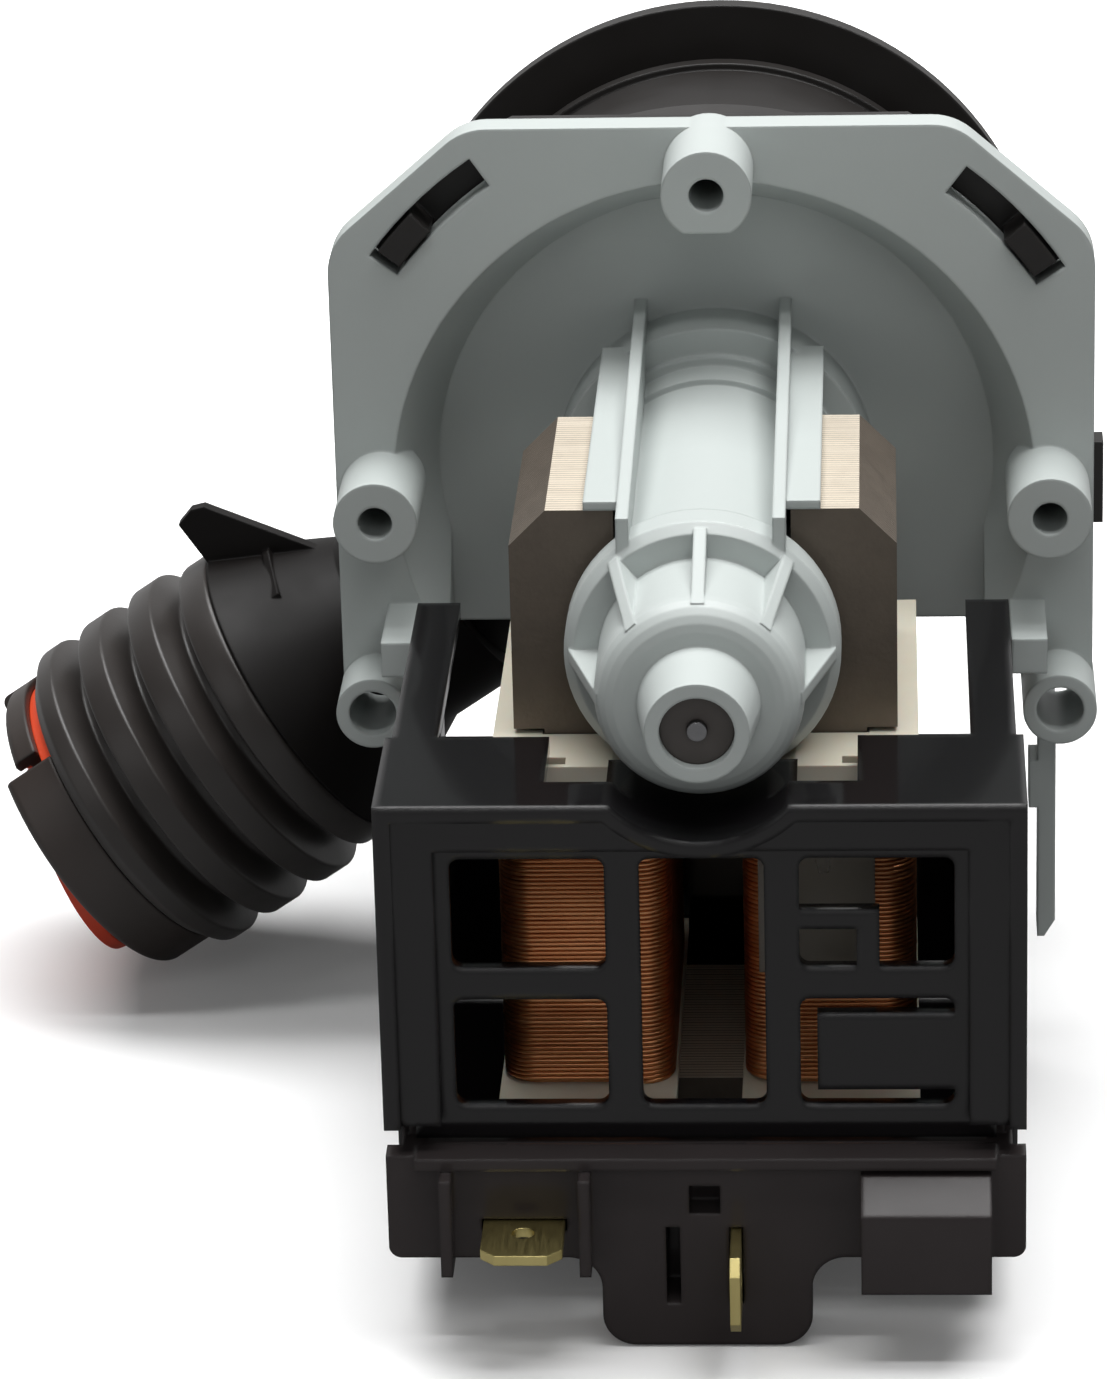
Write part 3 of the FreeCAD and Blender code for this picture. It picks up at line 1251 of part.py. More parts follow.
def make_hose_end():
    """End collar with its window and slot, and the valve seat ring that carries the flap's hinge."""
    body = outlet_rod("collar_round", "end_radius", "end_start", "end_stop")
    doc.recompute()
    edge_s = mm("end_stop")

    def outer_edge(edge):
        return near(edge.CenterOfMass.x, edge_s) and near(edge.Length, 2 * math.pi * mm("end_radius"))

    body = softened("collar_softened", body, "end_round", outer_edge)
    flange_stop = "(end_start + seat_flange_thick)"
    cuts = [outlet_rod("flange_room", "seat_flange + seat_fit", "end_start - 1", flange_stop + " + seat_fit")]
    cuts.append(outlet_rod("sleeve_room", "seat_sleeve + seat_fit", "end_start - 1", "end_stop + 1"))
    cuts.append(outlet_rod("end_mouth", "end_radius - end_wall", "seat_end", "end_stop + 1"))
    cuts.append(outlet_sector("end_window", "end_radius + 1", "end_start - 1", "window_reach",
                              mm("window_start"), "window_sweep"))
    cuts.append(outlet_sector("tab_limit", "end_radius + 1", "tab_reach", "end_stop + 1",
                              mm("window_start"), "window_sweep"))
    cuts.append(outlet_sector("end_slot", "end_radius + 1", "end_start - 1", "end_stop + 1",
                              mm("window_start") - mm("end_slot_turn") / 2, "end_slot_turn"))
    cuts.append(block("hinge_pocket", ("seat_end - 0.7", "end_stop + 1"),
                      ("-eye_outer - 0.3", "eye_outer + 0.3"),
                      ("flap_top - 1", "hinge_height + 1.8 * knuckle_radius")))
    collar = cut("collar_cut", body, cuts)
    doc.recompute()

    def tab_edge(edge):
        on_circle = hasattr(edge.Curve, "Radius") and near(edge.Curve.Radius, mm("end_radius"))
        return on_circle and near(edge.Curve.Center.x, mm("tab_reach"))

    finish_on_outlet("end_collar", softened("end_collar", collar, "end_round", tab_edge))

    flange = outlet_rod("seat_flange_round", "seat_flange", "end_start + 0.05", flange_stop)
    sleeve = outlet_rod("seat_sleeve_round", "seat_sleeve", "end_start + 0.05", "seat_end")
    solids = [flange, sleeve]
    for number, wide in enumerate((("eye_inner", "eye_outer"), ("-eye_outer", "-eye_inner"))):
        solids.append(block("eye_arm_%d" % number, ("seat_end - 0.5", "hinge_reach"), wide,
                            ("hinge_height - 0.7", "hinge_height + 0.7")))
        solids.append(cross_rod("eye_%d" % number, "knuckle_radius", wide[0], wide[1]))
    cuts = [outlet_rod("seat_bore", "seat_sleeve - seat_wall", "end_start - 1", "seat_end")]
    cuts.append(cross_rod("pin_hole", "hinge_pin + pin_fit", "-eye_outer - 1", "eye_outer + 1"))
    cuts.append(cross_rod("knuckle_room", "knuckle_radius + flap_gap", "-knuckle_half - flap_gap",
                          "knuckle_half + flap_gap"))
    finish_on_outlet("valve_seat", cut("valve_seat", joined("seat_solid", solids), cuts))

    face = "(seat_end + flap_gap)"
    disc = outlet_rod("flap_disc", "flap_radius", face, face + " + flap_thick")
    above = block("above_flap", (face + " - 1", face + " + 3 * flap_thick"), ("-flap_radius", "flap_radius"),
                  ("flap_top", "2 * flap_radius"))
    boss = outlet_rod("flap_boss", "0.3 * flap_radius", face, face + " + 1.8 * flap_thick")
    bridge = block("flap_bridge", (face, face + " + flap_thick"), ("-knuckle_half", "knuckle_half"),
                   ("0.7 * flap_radius", "hinge_height"))
    knuckle = cross_rod("flap_knuckle", "knuckle_radius", "-knuckle_half", "knuckle_half")
    flap = joined("flap_closed", [cut("flap_trimmed", disc, [above]), boss, bridge, knuckle])
    put(flap, "hinge_reach - hinge_reach * cos(flap_open) + hinge_height * sin(flap_open)", "0",
        "hinge_height - hinge_reach * sin(flap_open) - hinge_height * cos(flap_open)",
        Rotation(Vector(0, 1, 0), -mm("flap_open")))
    pin = cross_rod("flap_pin", "hinge_pin", "-eye_outer", "eye_outer")
    finish_on_outlet("valve_flap", joined("valve_flap", [flap, pin]))


def ring_piece(node, outer, inner, start, stop):
    """A plain ring about the rotor axis."""
    solid = rod(node + "_round", outer, start, stop)
    hole = rod(node + "_bore", inner, "(%s) - 1" % start, "(%s) + 1" % stop)
    finish(node, cut(node, solid, [hole]))


def make_rotor_set():
    """Shaft, rotor magnet, bearings and their seats, washer, driving dog and clip."""
    bore = "shaft_radius + running_fit"
    tail = "cap_front + cap_wall + 1.3"
    finish("shaft", rod("shaft", "shaft_radius", tail, "shaft_back"))
    ring_piece("rotor_magnet", "can_radius - can_wall - magnet_gap", "shaft_radius",
               "magnet_front", "magnet_back")
    rear = "cap_front + cap_wall + 1.2"
    ring_piece("rear_bearing", "bearing_radius", bore, rear, rear + " + bearing_length")
    ring_piece("rear_cushion", "cap_radius - cap_wall - 0.05", "bearing_radius + press_gap",
               "cap_front + cap_wall + 0.1", rear + " + bearing_length")
    pocket = "holder_front + 0.4 + bearing_length"
    ring_piece("front_bearing", "bearing_radius", bore, "holder_front + 0.4", pocket)
    cover_back = "(dish_depth + dish_wall + 0.05)"
    half = [
        ("bearing_radius + press_gap", "holder_front"),
        ("can_radius - can_wall - 0.1", "holder_front"),
        ("can_radius - can_wall - 0.1", cover_back),
        ("holder_flange", cover_back),
        ("holder_flange", cover_back + " + holder_thick"),
        ("1.3 * shaft_radius", cover_back + " + holder_thick"),
        ("1.3 * shaft_radius", pocket + " + press_gap"),
        ("bearing_radius + press_gap", pocket + " + press_gap"),
    ]
    finish("bearing_holder", turned("bearing_holder", half, "Y"))
    washer = cover_back + " + holder_thick + running_fit"
    ring_piece("shaft_washer", "washer_radius", "shaft_radius + running_fit",
               washer, washer + " + washer_thick")
    hub = rod("dog_hub_round", "dog_hub", "dog_front", "dog_front + dog_length")
    lug = block("dog_lug", ("-dog_width / 2", "dog_width / 2"), ("dog_front", "dog_front + dog_length"),
                ("0", "dog_reach"))
    hole = rod("dog_bore", "shaft_radius", "dog_front - 1", "dog_front + dog_length + 1")
    finish("drive_dog", cut("drive_dog", joined("dog_solid", [hub, lug]), [hole]))
    clip_front = "shaft_back - 0.4 - clip_thick"
    ring_piece("impeller_clip", "clip_radius", "shaft_radius", clip_front, "shaft_back - 0.4")


def make_impeller():
    """Five straight vanes on a hub, with a cup in front that the driving dog turns in."""
    cup_front = "(dog_front - running_end)"
    floor = "(dog_front + dog_length + running_end)"
    back = "(shaft_back - 0.4 - clip_thick - running_end)"
    cup = rod("cup_round", "cup_radius", cup_front, floor + " + cup_floor")
    hub = rod("impeller_hub", "hub_radius", floor, back)
    vanes = []
    for number in range(int(mm("vane_count"))):
        corners = [
            (floor, "0.5 * hub_radius"),
            (floor, "vane_radius - 2"),
            (floor + " + 2", "vane_radius"),
            (floor + " + vane_length", "vane_radius"),
            (floor + " + vane_length", "1.4 * hub_radius"),
            (back, "0.8 * hub_radius"),
            (back, "0.5 * hub_radius"),
        ]
        vane = slab("vane_%d" % number, "YZ_Plane", corners, "-vane_thick / 2", "vane_thick / 2")
        step_round = 360.0 * number / mm("vane_count")
        vane.Placement = Placement(Vector(0, 0, 0), Rotation(Vector(0, 1, 0), step_round))
        vanes.append(vane)
    space = rod("cup_space", "cup_bore", cup_front + " - 1", floor)
    lug = block("cup_lug", ("-dog_width / 2", "dog_width / 2"), (cup_front, floor + " + 0.5"),
                ("-cup_bore - 0.5", "-dog_hub - running_end"))
    bore = rod("impeller_bore", "shaft_radius + running_fit", floor + " - 1", back + " + 1")
    hollow = cut("impeller_hollow", joined("impeller_round", [cup, hub] + vanes), [space])
    finish("impeller", cut("impeller", joined("impeller_whole", [hollow, lug]), [bore]))


make_pump_cover()
make_nose()
make_stator()
for side, sign in (("left", -1), ("right", 1)):
    make_bobbin(side, sign)
    make_winding_core(side, sign)
    make_winding(side, sign)
make_protector()
make_coil_box()
make_terminal_block()
make_tab("tab_flat", "XY_Plane", "flat_tab_x", "flat_tab_z", True)
make_tab("tab_upright", "YZ_Plane", "upright_tab_x", "upright_tab_z", False)
make_volute()
make_outlet_duct()
make_bellows()
make_hose_end()
make_rotor_set()
make_impeller()

doc.recompute()
for thing in doc.Objects:
    assert "Invalid" not in thing.State and "Error" not in thing.State, (thing.Name, thing.State)

os.makedirs("parts", exist_ok=True)
for node, thing in pieces.items():
    shape = thing.Shape
    assert not shape.isNull() and shape.isValid(), node
    assert len(shape.Solids) == 1, (node, len(shape.Solids))
    shape.exportStep("parts/%s.step" % node)
    box = shape.BoundBox
    print("%-20s %8.0f mm3  x %.1f %.1f  y %.1f %.1f  z %.1f %.1f"
          % (node, shape.Volume, box.XMin, box.XMax, box.YMin, box.YMax, box.ZMin, box.ZMax))
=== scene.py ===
import json
import math
import random

import bmesh
import bpy
from mathutils import Matrix, Vector


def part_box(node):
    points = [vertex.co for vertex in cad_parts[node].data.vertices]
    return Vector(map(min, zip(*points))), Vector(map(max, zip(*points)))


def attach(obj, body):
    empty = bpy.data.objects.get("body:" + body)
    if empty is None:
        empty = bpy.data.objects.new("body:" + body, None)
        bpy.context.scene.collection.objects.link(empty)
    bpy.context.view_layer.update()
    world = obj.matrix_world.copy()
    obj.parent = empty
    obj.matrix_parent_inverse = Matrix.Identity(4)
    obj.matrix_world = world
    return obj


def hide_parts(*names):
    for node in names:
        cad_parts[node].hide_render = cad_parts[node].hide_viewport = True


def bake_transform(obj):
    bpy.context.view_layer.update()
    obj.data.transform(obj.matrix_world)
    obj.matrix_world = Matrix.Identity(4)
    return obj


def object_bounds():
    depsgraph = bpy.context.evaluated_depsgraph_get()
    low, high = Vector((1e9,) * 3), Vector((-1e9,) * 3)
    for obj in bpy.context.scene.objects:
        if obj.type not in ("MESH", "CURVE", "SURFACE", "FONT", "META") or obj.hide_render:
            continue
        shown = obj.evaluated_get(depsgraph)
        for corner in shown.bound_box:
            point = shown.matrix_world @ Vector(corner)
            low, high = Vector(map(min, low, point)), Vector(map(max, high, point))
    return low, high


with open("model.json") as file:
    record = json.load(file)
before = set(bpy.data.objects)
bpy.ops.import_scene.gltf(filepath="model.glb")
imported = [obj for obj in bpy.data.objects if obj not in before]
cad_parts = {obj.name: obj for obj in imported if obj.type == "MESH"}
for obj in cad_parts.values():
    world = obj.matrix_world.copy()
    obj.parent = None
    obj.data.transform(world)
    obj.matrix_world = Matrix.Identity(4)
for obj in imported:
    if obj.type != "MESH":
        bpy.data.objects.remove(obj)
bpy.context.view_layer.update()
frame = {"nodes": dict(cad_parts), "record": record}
record = frame["record"]
nodes = frame["nodes"]

# the outlet's own line: its start, the way it runs and the way that counts as up from it, in mm
OUTLET_START = Vector((1.1, 27.5, 0.43))
OUTLET_SLOPE = math.radians(34.2)
ALONG_OUTLET = Vector((-math.cos(OUTLET_SLOPE), 0, -math.sin(OUTLET_SLOPE)))
ABOVE_OUTLET = Vector((-math.sin(OUTLET_SLOPE), 0, math.cos(OUTLET_SLOPE)))
TOWARDS_VIEWER = Vector((0, -1, 0))


# small helpers

def linear(hex_text):
    """An sRGB hex colour as the linear colour that a shader wants."""
    parts = []
    for start in (1, 3, 5):
        value = int(hex_text[start:start + 2], 16) / 255
        parts.append(value / 12.92 if value <= 0.04045 else ((value + 0.055) / 1.055) ** 2.4)
    return (*parts, 1.0)


def across(size_mm):
    """The pattern scale whose features are this many millimetres across."""
    return 1000 / size_mm


def on_outlet(along, outwards, bearing=0.0):
    """A point on a ring round the outlet's line, in metres."""
    out = ABOVE_OUTLET * math.cos(bearing) + TOWARDS_VIEWER * math.sin(bearing)
    return (OUTLET_START + ALONG_OUTLET * along + out * outwards) * 0.001


def new_piece(name, mesh, body, material, smooth=True):
    """Puts a finished mesh in the scene as a piece that rides on one body."""
    made = bpy.data.meshes.new(name)
    mesh.to_mesh(made)
    mesh.free()
    piece = bpy.data.objects.new(name, made)
    bpy.context.scene.collection.objects.link(piece)
    made.materials.append(material)
    for face in made.polygons:
        face.use_smooth = smooth
    if body:
        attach(piece, body)
    return piece


# materials

def start_finish(name):
    """An empty material, ready for its nodes."""
    material = bpy.data.materials.new(name)
    material.use_nodes = True
    material.node_tree.nodes.clear()
    return material


def add(material, kind, fixed=None, inputs=None):
    """Adds one node: fixed holds its settings, and inputs its values or the sockets linked to it."""
    node = material.node_tree.nodes.new("ShaderNode" + kind)
    for name, value in (fixed or {}).items():
        setattr(node, name, value)
    for name, value in (inputs or {}).items():
        if isinstance(value, bpy.types.NodeSocket):
            material.node_tree.links.new(value, node.inputs[name])
        else:
            node.inputs[name].default_value = value
    return node


def end_finish(material, shader):
    """Puts the shader on the material's surface."""
    add(material, "OutputMaterial", {}, {"Surface": shader.outputs[0]})
    return material


def moulded(name, colour, shade, rough, flow_mm, grain_mm, grain_depth, edge_mm, shine=None):
    """Moulded plastic or rubber: drifts of shade from the flow of the melt, tool grain and soft edges."""
    finish = start_finish(name)
    spot = add(finish, "TexCoord").outputs["Object"]
    flow = add(finish, "TexNoise", {}, {"Vector": spot, "Scale": across(flow_mm), "Detail": 4.0})
    grain = add(finish, "TexNoise", {}, {"Vector": spot, "Scale": across(grain_mm), "Detail": 2.0})
    blend = add(finish, "Mix", {"data_type": "RGBA"},
                {0: flow.outputs["Fac"], 6: linear(colour), 7: linear(shade)})
    gloss = add(finish, "MapRange", {},
                {"Value": flow.outputs["Fac"], "From Min": 0.3, "From Max": 0.7,
                 "To Min": rough * 0.86, "To Max": min(rough * 1.16, 1)})
    edge = add(finish, "Bevel", {"samples": 6}, {"Radius": edge_mm * 0.001})
    bump = add(finish, "Bump", {}, {"Height": grain.outputs["Fac"], "Strength": 0.5,
                                    "Distance": grain_depth * 0.001, "Normal": edge.outputs[0]})
    skin = add(finish, "BsdfPrincipled", {},
               {"Base Color": blend.outputs[2], "Roughness": gloss.outputs[0],
                "Normal": bump.outputs[0], "IOR": 1.49})
    for socket, value in (shine or {}).items():
        skin.inputs[socket].default_value = value
    return end_finish(finish, skin)


def grey_polypropylene():
    """Satin grey polypropylene: pale, a little waxy, with light that softens on every edge."""
    return moulded("moulded_grey_polypropylene", "#B1B7B5", "#A9AFAD", 0.44, 14, 0.35, 0.010, 0.35)


def black_nylon():
    """Glossy black nylon: almost no colour of its own, crisp bright lines along its edges."""
    return moulded("moulded_black_nylon", "#0F0D0F", "#0B090B", 0.11, 9, 0.5, 0.004, 0.9)


def black_polypropylene():
    """Satin black polypropylene: soft broad highlights over a warm black."""
    return moulded("moulded_black_polypropylene", "#1D1A18", "#151312", 0.42, 8, 0.4, 0.008, 0.3)


def black_rubber():
    """Moulded black rubber: darker and duller than the plastic beside it, with a slight bloom."""
    return moulded("moulded_black_rubber", "#211D1B", "#2A2624", 0.36, 6, 0.3, 0.010, 0.3,
                   {"Sheen Weight": 0.12, "Sheen Roughness": 0.45})


def ivory_nylon():
    """Ivory nylon of the coil formers: pale and half see-through at its thin flanges."""
    return moulded("moulded_ivory_nylon", "#CFCABB", "#BFB8A6", 0.40, 7, 0.4, 0.008, 0.2,
                   {"Subsurface Weight": 0.15, "Subsurface Scale": 0.001})


def orange_plastic():
    """Orange-red plastic of the seat: brighter and a little glossier than the flap."""
    return moulded("moulded_orange_plastic", "#EE5430", "#DC4826", 0.36, 6, 0.4, 0.008, 0.25)


def orange_silicone():
    """Orange-red silicone rubber of the flap: dull and even."""
    return moulded("moulded_orange_silicone", "#E04A2A", "#CE3E22", 0.48, 5, 0.3, 0.010, 0.3)


def milky_sleeve():
    """The milky insulating sleeve: thin, cloudy, half see-through."""
    return moulded("extruded_milky_sleeve", "#9B958A", "#857E72", 0.3, 5, 0.6, 0.010, 0.2,
                   {"Transmission Weight": 0.6})


def punched_steel(name, sheet_face, lit_top_colour, sheet_mm):
    """Punched sheets stacked along Y: dark faces all round, and painted light on the faces that look
    straight up, pale and lined by every sheet.
    """
    finish = start_finish(name)
    coords = add(finish, "TexCoord")
    spot = coords.outputs["Object"]
    split = add(finish, "SeparateXYZ", {}, {0: coords.outputs["Normal"]})
    stretch = add(finish, "Mapping", {}, {"Vector": spot, "Scale": (0.03, 1.0, 0.03)})
    burr = add(finish, "TexNoise", {},
               {"Vector": stretch.outputs[0], "Scale": across(sheet_mm), "Detail": 3.0})
    oxide = add(finish, "TexNoise", {},
                {"Vector": spot, "Scale": across(2), "Detail": 6.0, "Roughness": 0.7})
    # painted light: the pale colour of the faces that look straight up, streaked along the sheets
    lit_top_mix = add(finish, "Mix", {"data_type": "RGBA"},
                      {0: burr.outputs["Fac"], 6: linear(lit_top_colour), 7: linear("#C0B4A3")})
    face_colour = add(finish, "Mix", {"data_type": "RGBA"},
                      {0: oxide.outputs["Fac"], 6: linear(sheet_face), 7: linear("#70665B")})
    # painted light: only faces that look straight up get the pale colour, as if lit from above; the rest
    # keep the dark colour with its oxide drifts
    upright = add(finish, "MapRange", {},
                  {"Value": split.outputs["Z"], "From Min": 0.88, "From Max": 0.97})
    colour = add(finish, "Mix", {"data_type": "RGBA"},
                 {0: upright.outputs[0], 6: face_colour.outputs[2], 7: lit_top_mix.outputs[2]})
    scratch = add(finish, "TexNoise", {}, {"Vector": spot, "Scale": across(0.4), "Detail": 3.0})
    bump = add(finish, "Bump", {},
               {"Height": scratch.outputs["Fac"], "Strength": 0.6, "Distance": 0.00006})
    gloss = add(finish, "MapRange", {}, {"Value": oxide.outputs["Fac"], "To Min": 0.36, "To Max": 0.6})
    skin = add(finish, "BsdfPrincipled", {},
               {"Base Color": colour.outputs[2], "Metallic": 0.5, "Roughness": gloss.outputs[0],
                "Normal": bump.outputs[0]})
    return end_finish(finish, skin)


def bare_metal(name, colour, tint, rough, brush_mm, edge_mm):
    """Drawn, ground or stamped metal: fine brush marks in the gloss, and edges that catch the light."""
    finish = start_finish(name)
    spot = add(finish, "TexCoord").outputs["Object"]
    stretch = add(finish, "Mapping", {}, {"Vector": spot, "Scale": (1.0, 0.1, 1.0)})
    brush = add(finish, "TexNoise", {},
                {"Vector": stretch.outputs[0], "Scale": across(brush_mm), "Detail": 3.0})
    stain = add(finish, "TexNoise", {}, {"Vector": spot, "Scale": across(3), "Detail": 5.0})
    blend = add(finish, "Mix", {"data_type": "RGBA"},
                {0: stain.outputs["Fac"], 6: linear(colour), 7: linear(tint)})
    gloss = add(finish, "MapRange", {},
                {"Value": brush.outputs["Fac"], "To Min": rough * 0.7, "To Max": rough * 1.3})
    edge = add(finish, "Bevel", {"samples": 4}, {"Radius": edge_mm * 0.001})
    bump = add(finish, "Bump", {}, {"Height": brush.outputs["Fac"], "Strength": 0.3, "Distance": 0.00001,
                                    "Normal": edge.outputs[0]})
    skin = add(finish, "BsdfPrincipled", {},
               {"Base Color": blend.outputs[2], "Metallic": 1.0, "Roughness": gloss.outputs[0],
                "Normal": bump.outputs[0]})
    return end_finish(finish, skin)


def enamelled_copper():
    """Enamelled copper wire: orange metal under a clear brown varnish, each turn a shade apart."""
    finish = start_finish("enamelled_copper_wire")
    spot = add(finish, "TexCoord").outputs["Object"]
    # a noise squashed to the wire's pitch along Z, so neighbouring turns differ
    layers = add(finish, "Mapping", {}, {"Vector": spot, "Scale": (0.06, 0.06, 1.0)})
    turn_tint = add(finish, "TexNoise", {},
                    {"Vector": layers.outputs[0], "Scale": across(0.74), "Detail": 2.0})
    blend = add(finish, "Mix", {"data_type": "RGBA"},
                {0: turn_tint.outputs["Fac"], 6: linear("#FFC08A"), 7: linear("#CC7840")})
    skin = add(finish, "BsdfPrincipled", {},
               {"Base Color": blend.outputs[2], "Metallic": 1.0, "Roughness": 0.38,
                "Coat Weight": 0.4, "Coat Roughness": 0.2})
    return end_finish(finish, skin)


def sintered(name, colour, shade, rough):
    """Pressed and sintered ceramic or carbon: matt, dark and finely grained."""
    return moulded(name, colour, shade, rough, 3, 0.25, 0.02, 0.2)


FINISHES = {
    "grey_moulding": grey_polypropylene(),
    "black_moulding": black_nylon(),
    "dark_moulding": black_polypropylene(),
    "black_rubber": black_rubber(),
    "ivory_moulding": ivory_nylon(),
    "orange_moulding": orange_plastic(),
    "orange_rubber": orange_silicone(),
    "clear_sleeve": milky_sleeve(),
    # the pale #E8DECD is painted light on the stator's faces that look straight up
    "lamination_steel": punched_steel("punched_steel_sheets", "#5A524A", "#E8DECD", 0.4),
    "bright_steel": bare_metal("ground_stainless_steel", "#B4B6B9", "#A3A5A8", 0.28, 0.15, 0.1),
    "tab_brass": bare_metal("tinned_brass_sheet", "#DDCF90", "#C6B678", 0.36, 0.2, 0.15),
    "copper_wire": enamelled_copper(),
    "ferrite": sintered("moulded_ferrite", "#3A3A3D", "#303033", 0.55),
    "bearing_carbon": sintered("pressed_carbon", "#2B2B2D", "#232325", 0.5),
}


# pieces whose finish differs a little from the others of their material: the plug is browner rubber,
# the pin's end is worn dull, the terminal block and hose collar are a greyer black, and the duct is
# the dullest of the black plastics, with its colour darkened as painted shade where it lies in shadow
OWN_FINISHES = {
    "nose_plug": moulded("moulded_brown_rubber", "#4E4946", "#423D3A", 0.5, 3, 0.3, 0.012, 0.25),
    "terminal_block": moulded("moulded_black_polyester", "#3C3737", "#342F2F", 0.17, 7, 0.4, 0.008, 0.5,
                              {"Specular IOR Level": 0.2}),
    # painted shade: the duct's darker black stands in for the shadow it lies in
    "outlet_duct": moulded("moulded_polypropylene_painted_shade", "#100D0C", "#0C0A09", 0.5, 8, 0.4, 0.006, 0.3,
                           {"Specular IOR Level": 0.18}),
    "end_collar": moulded("moulded_black_acetal", "#342D2A", "#2B2522", 0.4, 7, 0.4, 0.008, 0.4),
    "thrust_pin": bare_metal("worn_pin_steel", "#9A9A9C", "#6E6E70", 0.4, 0.15, 0.2),
}


def dress_solids():
    """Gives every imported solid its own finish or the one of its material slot."""
    for row in record["subparts"]:
        solid = nodes[row["node"]]
        solid.data.materials.clear()
        solid.data.materials.append(OWN_FINISHES.get(row["node"]) or FINISHES[row["material_slot"]])


# the coils, in mm: the wire's radius and the number of its sides, the bend of the outer layer at the
# former's corners, and how much tighter the inner layer bends. As shares of the wire's radius: the step
# from turn to turn, the step from layer to layer, and how far a turn strays
WIRE_RADIUS = 0.18
WIRE_SIDES = 6
CORNER_BEND = 2.3
INNER_BEND_STEP = 0.3
TURN_STEP = 2.06
LAYER_STEP = 1.8
WIRE_STRAY = 0.16


def rounded_turn(half_x, half_y, bend, corner_steps=5):
    """Points and outward directions once round a rounded rectangle, counter-clockwise."""
    turn = []
    for quarter, (sign_x, sign_y) in enumerate(((1, -1), (1, 1), (-1, 1), (-1, -1))):
        for step in range(corner_steps + 1):
            angle = math.radians(-90 + 90 * quarter + 90 * step / corner_steps)
            out = Vector((math.cos(angle), math.sin(angle), 0))
            centre = Vector((sign_x * (half_x - bend), sign_y * (half_y - bend), 0))
            turn.append((centre + out * bend, out))
    return turn


def wind_layer(mesh, middle, half_x, half_y, bend, low, high, chance):
    """Adds one unbroken layer of wire that climbs from low to high, a wire's width each turn."""
    wire = WIRE_RADIUS
    turns = int((high - low) / (wire * TURN_STEP))
    turn = rounded_turn(half_x, half_y, bend)
    pitch = (high - low) / turns
    rings = []
    for number in range(turns):
        wander = chance.uniform(-WIRE_STRAY, WIRE_STRAY) * wire
        for step, (place, out) in enumerate(turn):
            climb = low + pitch * (number + step / len(turn))
            bulge = math.sin(step / len(turn) * 2 * math.pi) * wander
            centre = middle + place + Vector((0, 0, climb))
            ring = []
            for side in range(WIRE_SIDES):
                angle = 2 * math.pi * side / WIRE_SIDES
                sideways = out * (math.cos(angle) * wire + wander * 0.5)
                upwards = Vector((0, 0, math.sin(angle) * wire + bulge * 0.3))
                ring.append(mesh.verts.new((centre + (sideways + upwards)) * 0.001))
            rings.append(ring)
    for first, second in zip(rings, rings[1:]):
        for side in range(WIRE_SIDES):
            other = (side + 1) % WIRE_SIDES
            mesh.faces.new((first[side], first[other], second[other], second[side]))
    mesh.faces.new(list(reversed(rings[0])))
    mesh.faces.new(rings[-1])


def wind_coil(side):
    """A coil of fine wire, two layers deep over its packed inner layers."""
    low, high = [corner * 1000 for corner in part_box("winding_" + side)]
    core_low, core_high = [corner * 1000 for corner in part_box("winding_core_" + side)]
    middle = (low + high) * 0.5
    middle.z = 0
    half_x = (high.x - low.x) / 2
    half_y = (high.y - low.y) / 2
    wire = WIRE_RADIUS
    chance = random.Random(7 if side == "left" else 11)
    mesh = bmesh.new()
    for depth in (0, 1):
        inset = wire + depth * wire * LAYER_STEP
        wind_layer(mesh, middle, half_x - inset, half_y - inset, CORNER_BEND - depth * INNER_BEND_STEP,
                   core_low.z + wire, core_high.z - 3 * wire, chance)
    coil = new_piece("wire_coil_" + side, mesh, "pump", FINISHES["copper_wire"])
    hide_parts("winding_" + side)


# the stator's sheets, in metres: a sheet's thickness, and the half width and depth of the groove between
# two sheets
SHEET_THICK = 0.0005
GROOVE_HALF = 0.00004
GROOVE_DEPTH = 0.00003


def stack_sheets():
    """The stator as its stacked sheets: a fine groove round every cut edge between two of them."""
    low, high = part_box("stator_core")
    mesh = bmesh.new()
    mesh.from_mesh(nodes["stator_core"].data)
    bmesh.ops.remove_doubles(mesh, verts=mesh.verts, dist=1e-6)
    count = round((high.y - low.y) / SHEET_THICK)
    sheet = (high.y - low.y) / count
    for number in range(1, count):
        level = low.y + number * sheet
        for shift in (-GROOVE_HALF, 0.0, GROOVE_HALF):
            everything = mesh.verts[:] + mesh.edges[:] + mesh.faces[:]
            bmesh.ops.bisect_plane(mesh, geom=everything, dist=1e-7,
                                   plane_co=(0, level + shift, 0), plane_no=(0, 1, 0))
    mesh.normal_update()
    sunk = []
    for corner in mesh.verts:
        place = (corner.co.y - low.y) / sheet
        if 0.5 < place < count - 0.5 and abs(place - round(place)) < 0.02:
            inwards = Vector((corner.normal.x, 0, corner.normal.z))
            if inwards.length > 0.1:
                sunk.append((corner, inwards.normalized()))
    for corner, out in sunk:
        corner.co -= out * GROOVE_DEPTH
    stack = new_piece("stacked_sheets", mesh, "pump", FINISHES["lamination_steel"],
                      smooth=False)
    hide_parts("stator_core")


# the ribbed hose, in mm along the outlet and outwards from it: where it starts and ends, the middle of its
# first rib, the step from rib to rib, and the number of ribs after the cuff
HOSE_START = 45.56
HOSE_END = 64.65
RIB_MIDDLE = 52.4
RIB_PITCH = 5.4
RIB_COUNT = 3
# its bore: the plain radius at both ends, where the plain start stops, the stretch that follows the ribs,
# the wall there, and the least and greatest radius that it may have
BORE_RADIUS = 11.3
PLAIN_BORE_STOP = 48.4
WAVY_BORE_START = 48.6
WAVY_BORE_END = 64.0
HOSE_WALL = 1.3
LEAST_BORE = 11.2
GREATEST_BORE = 13.6


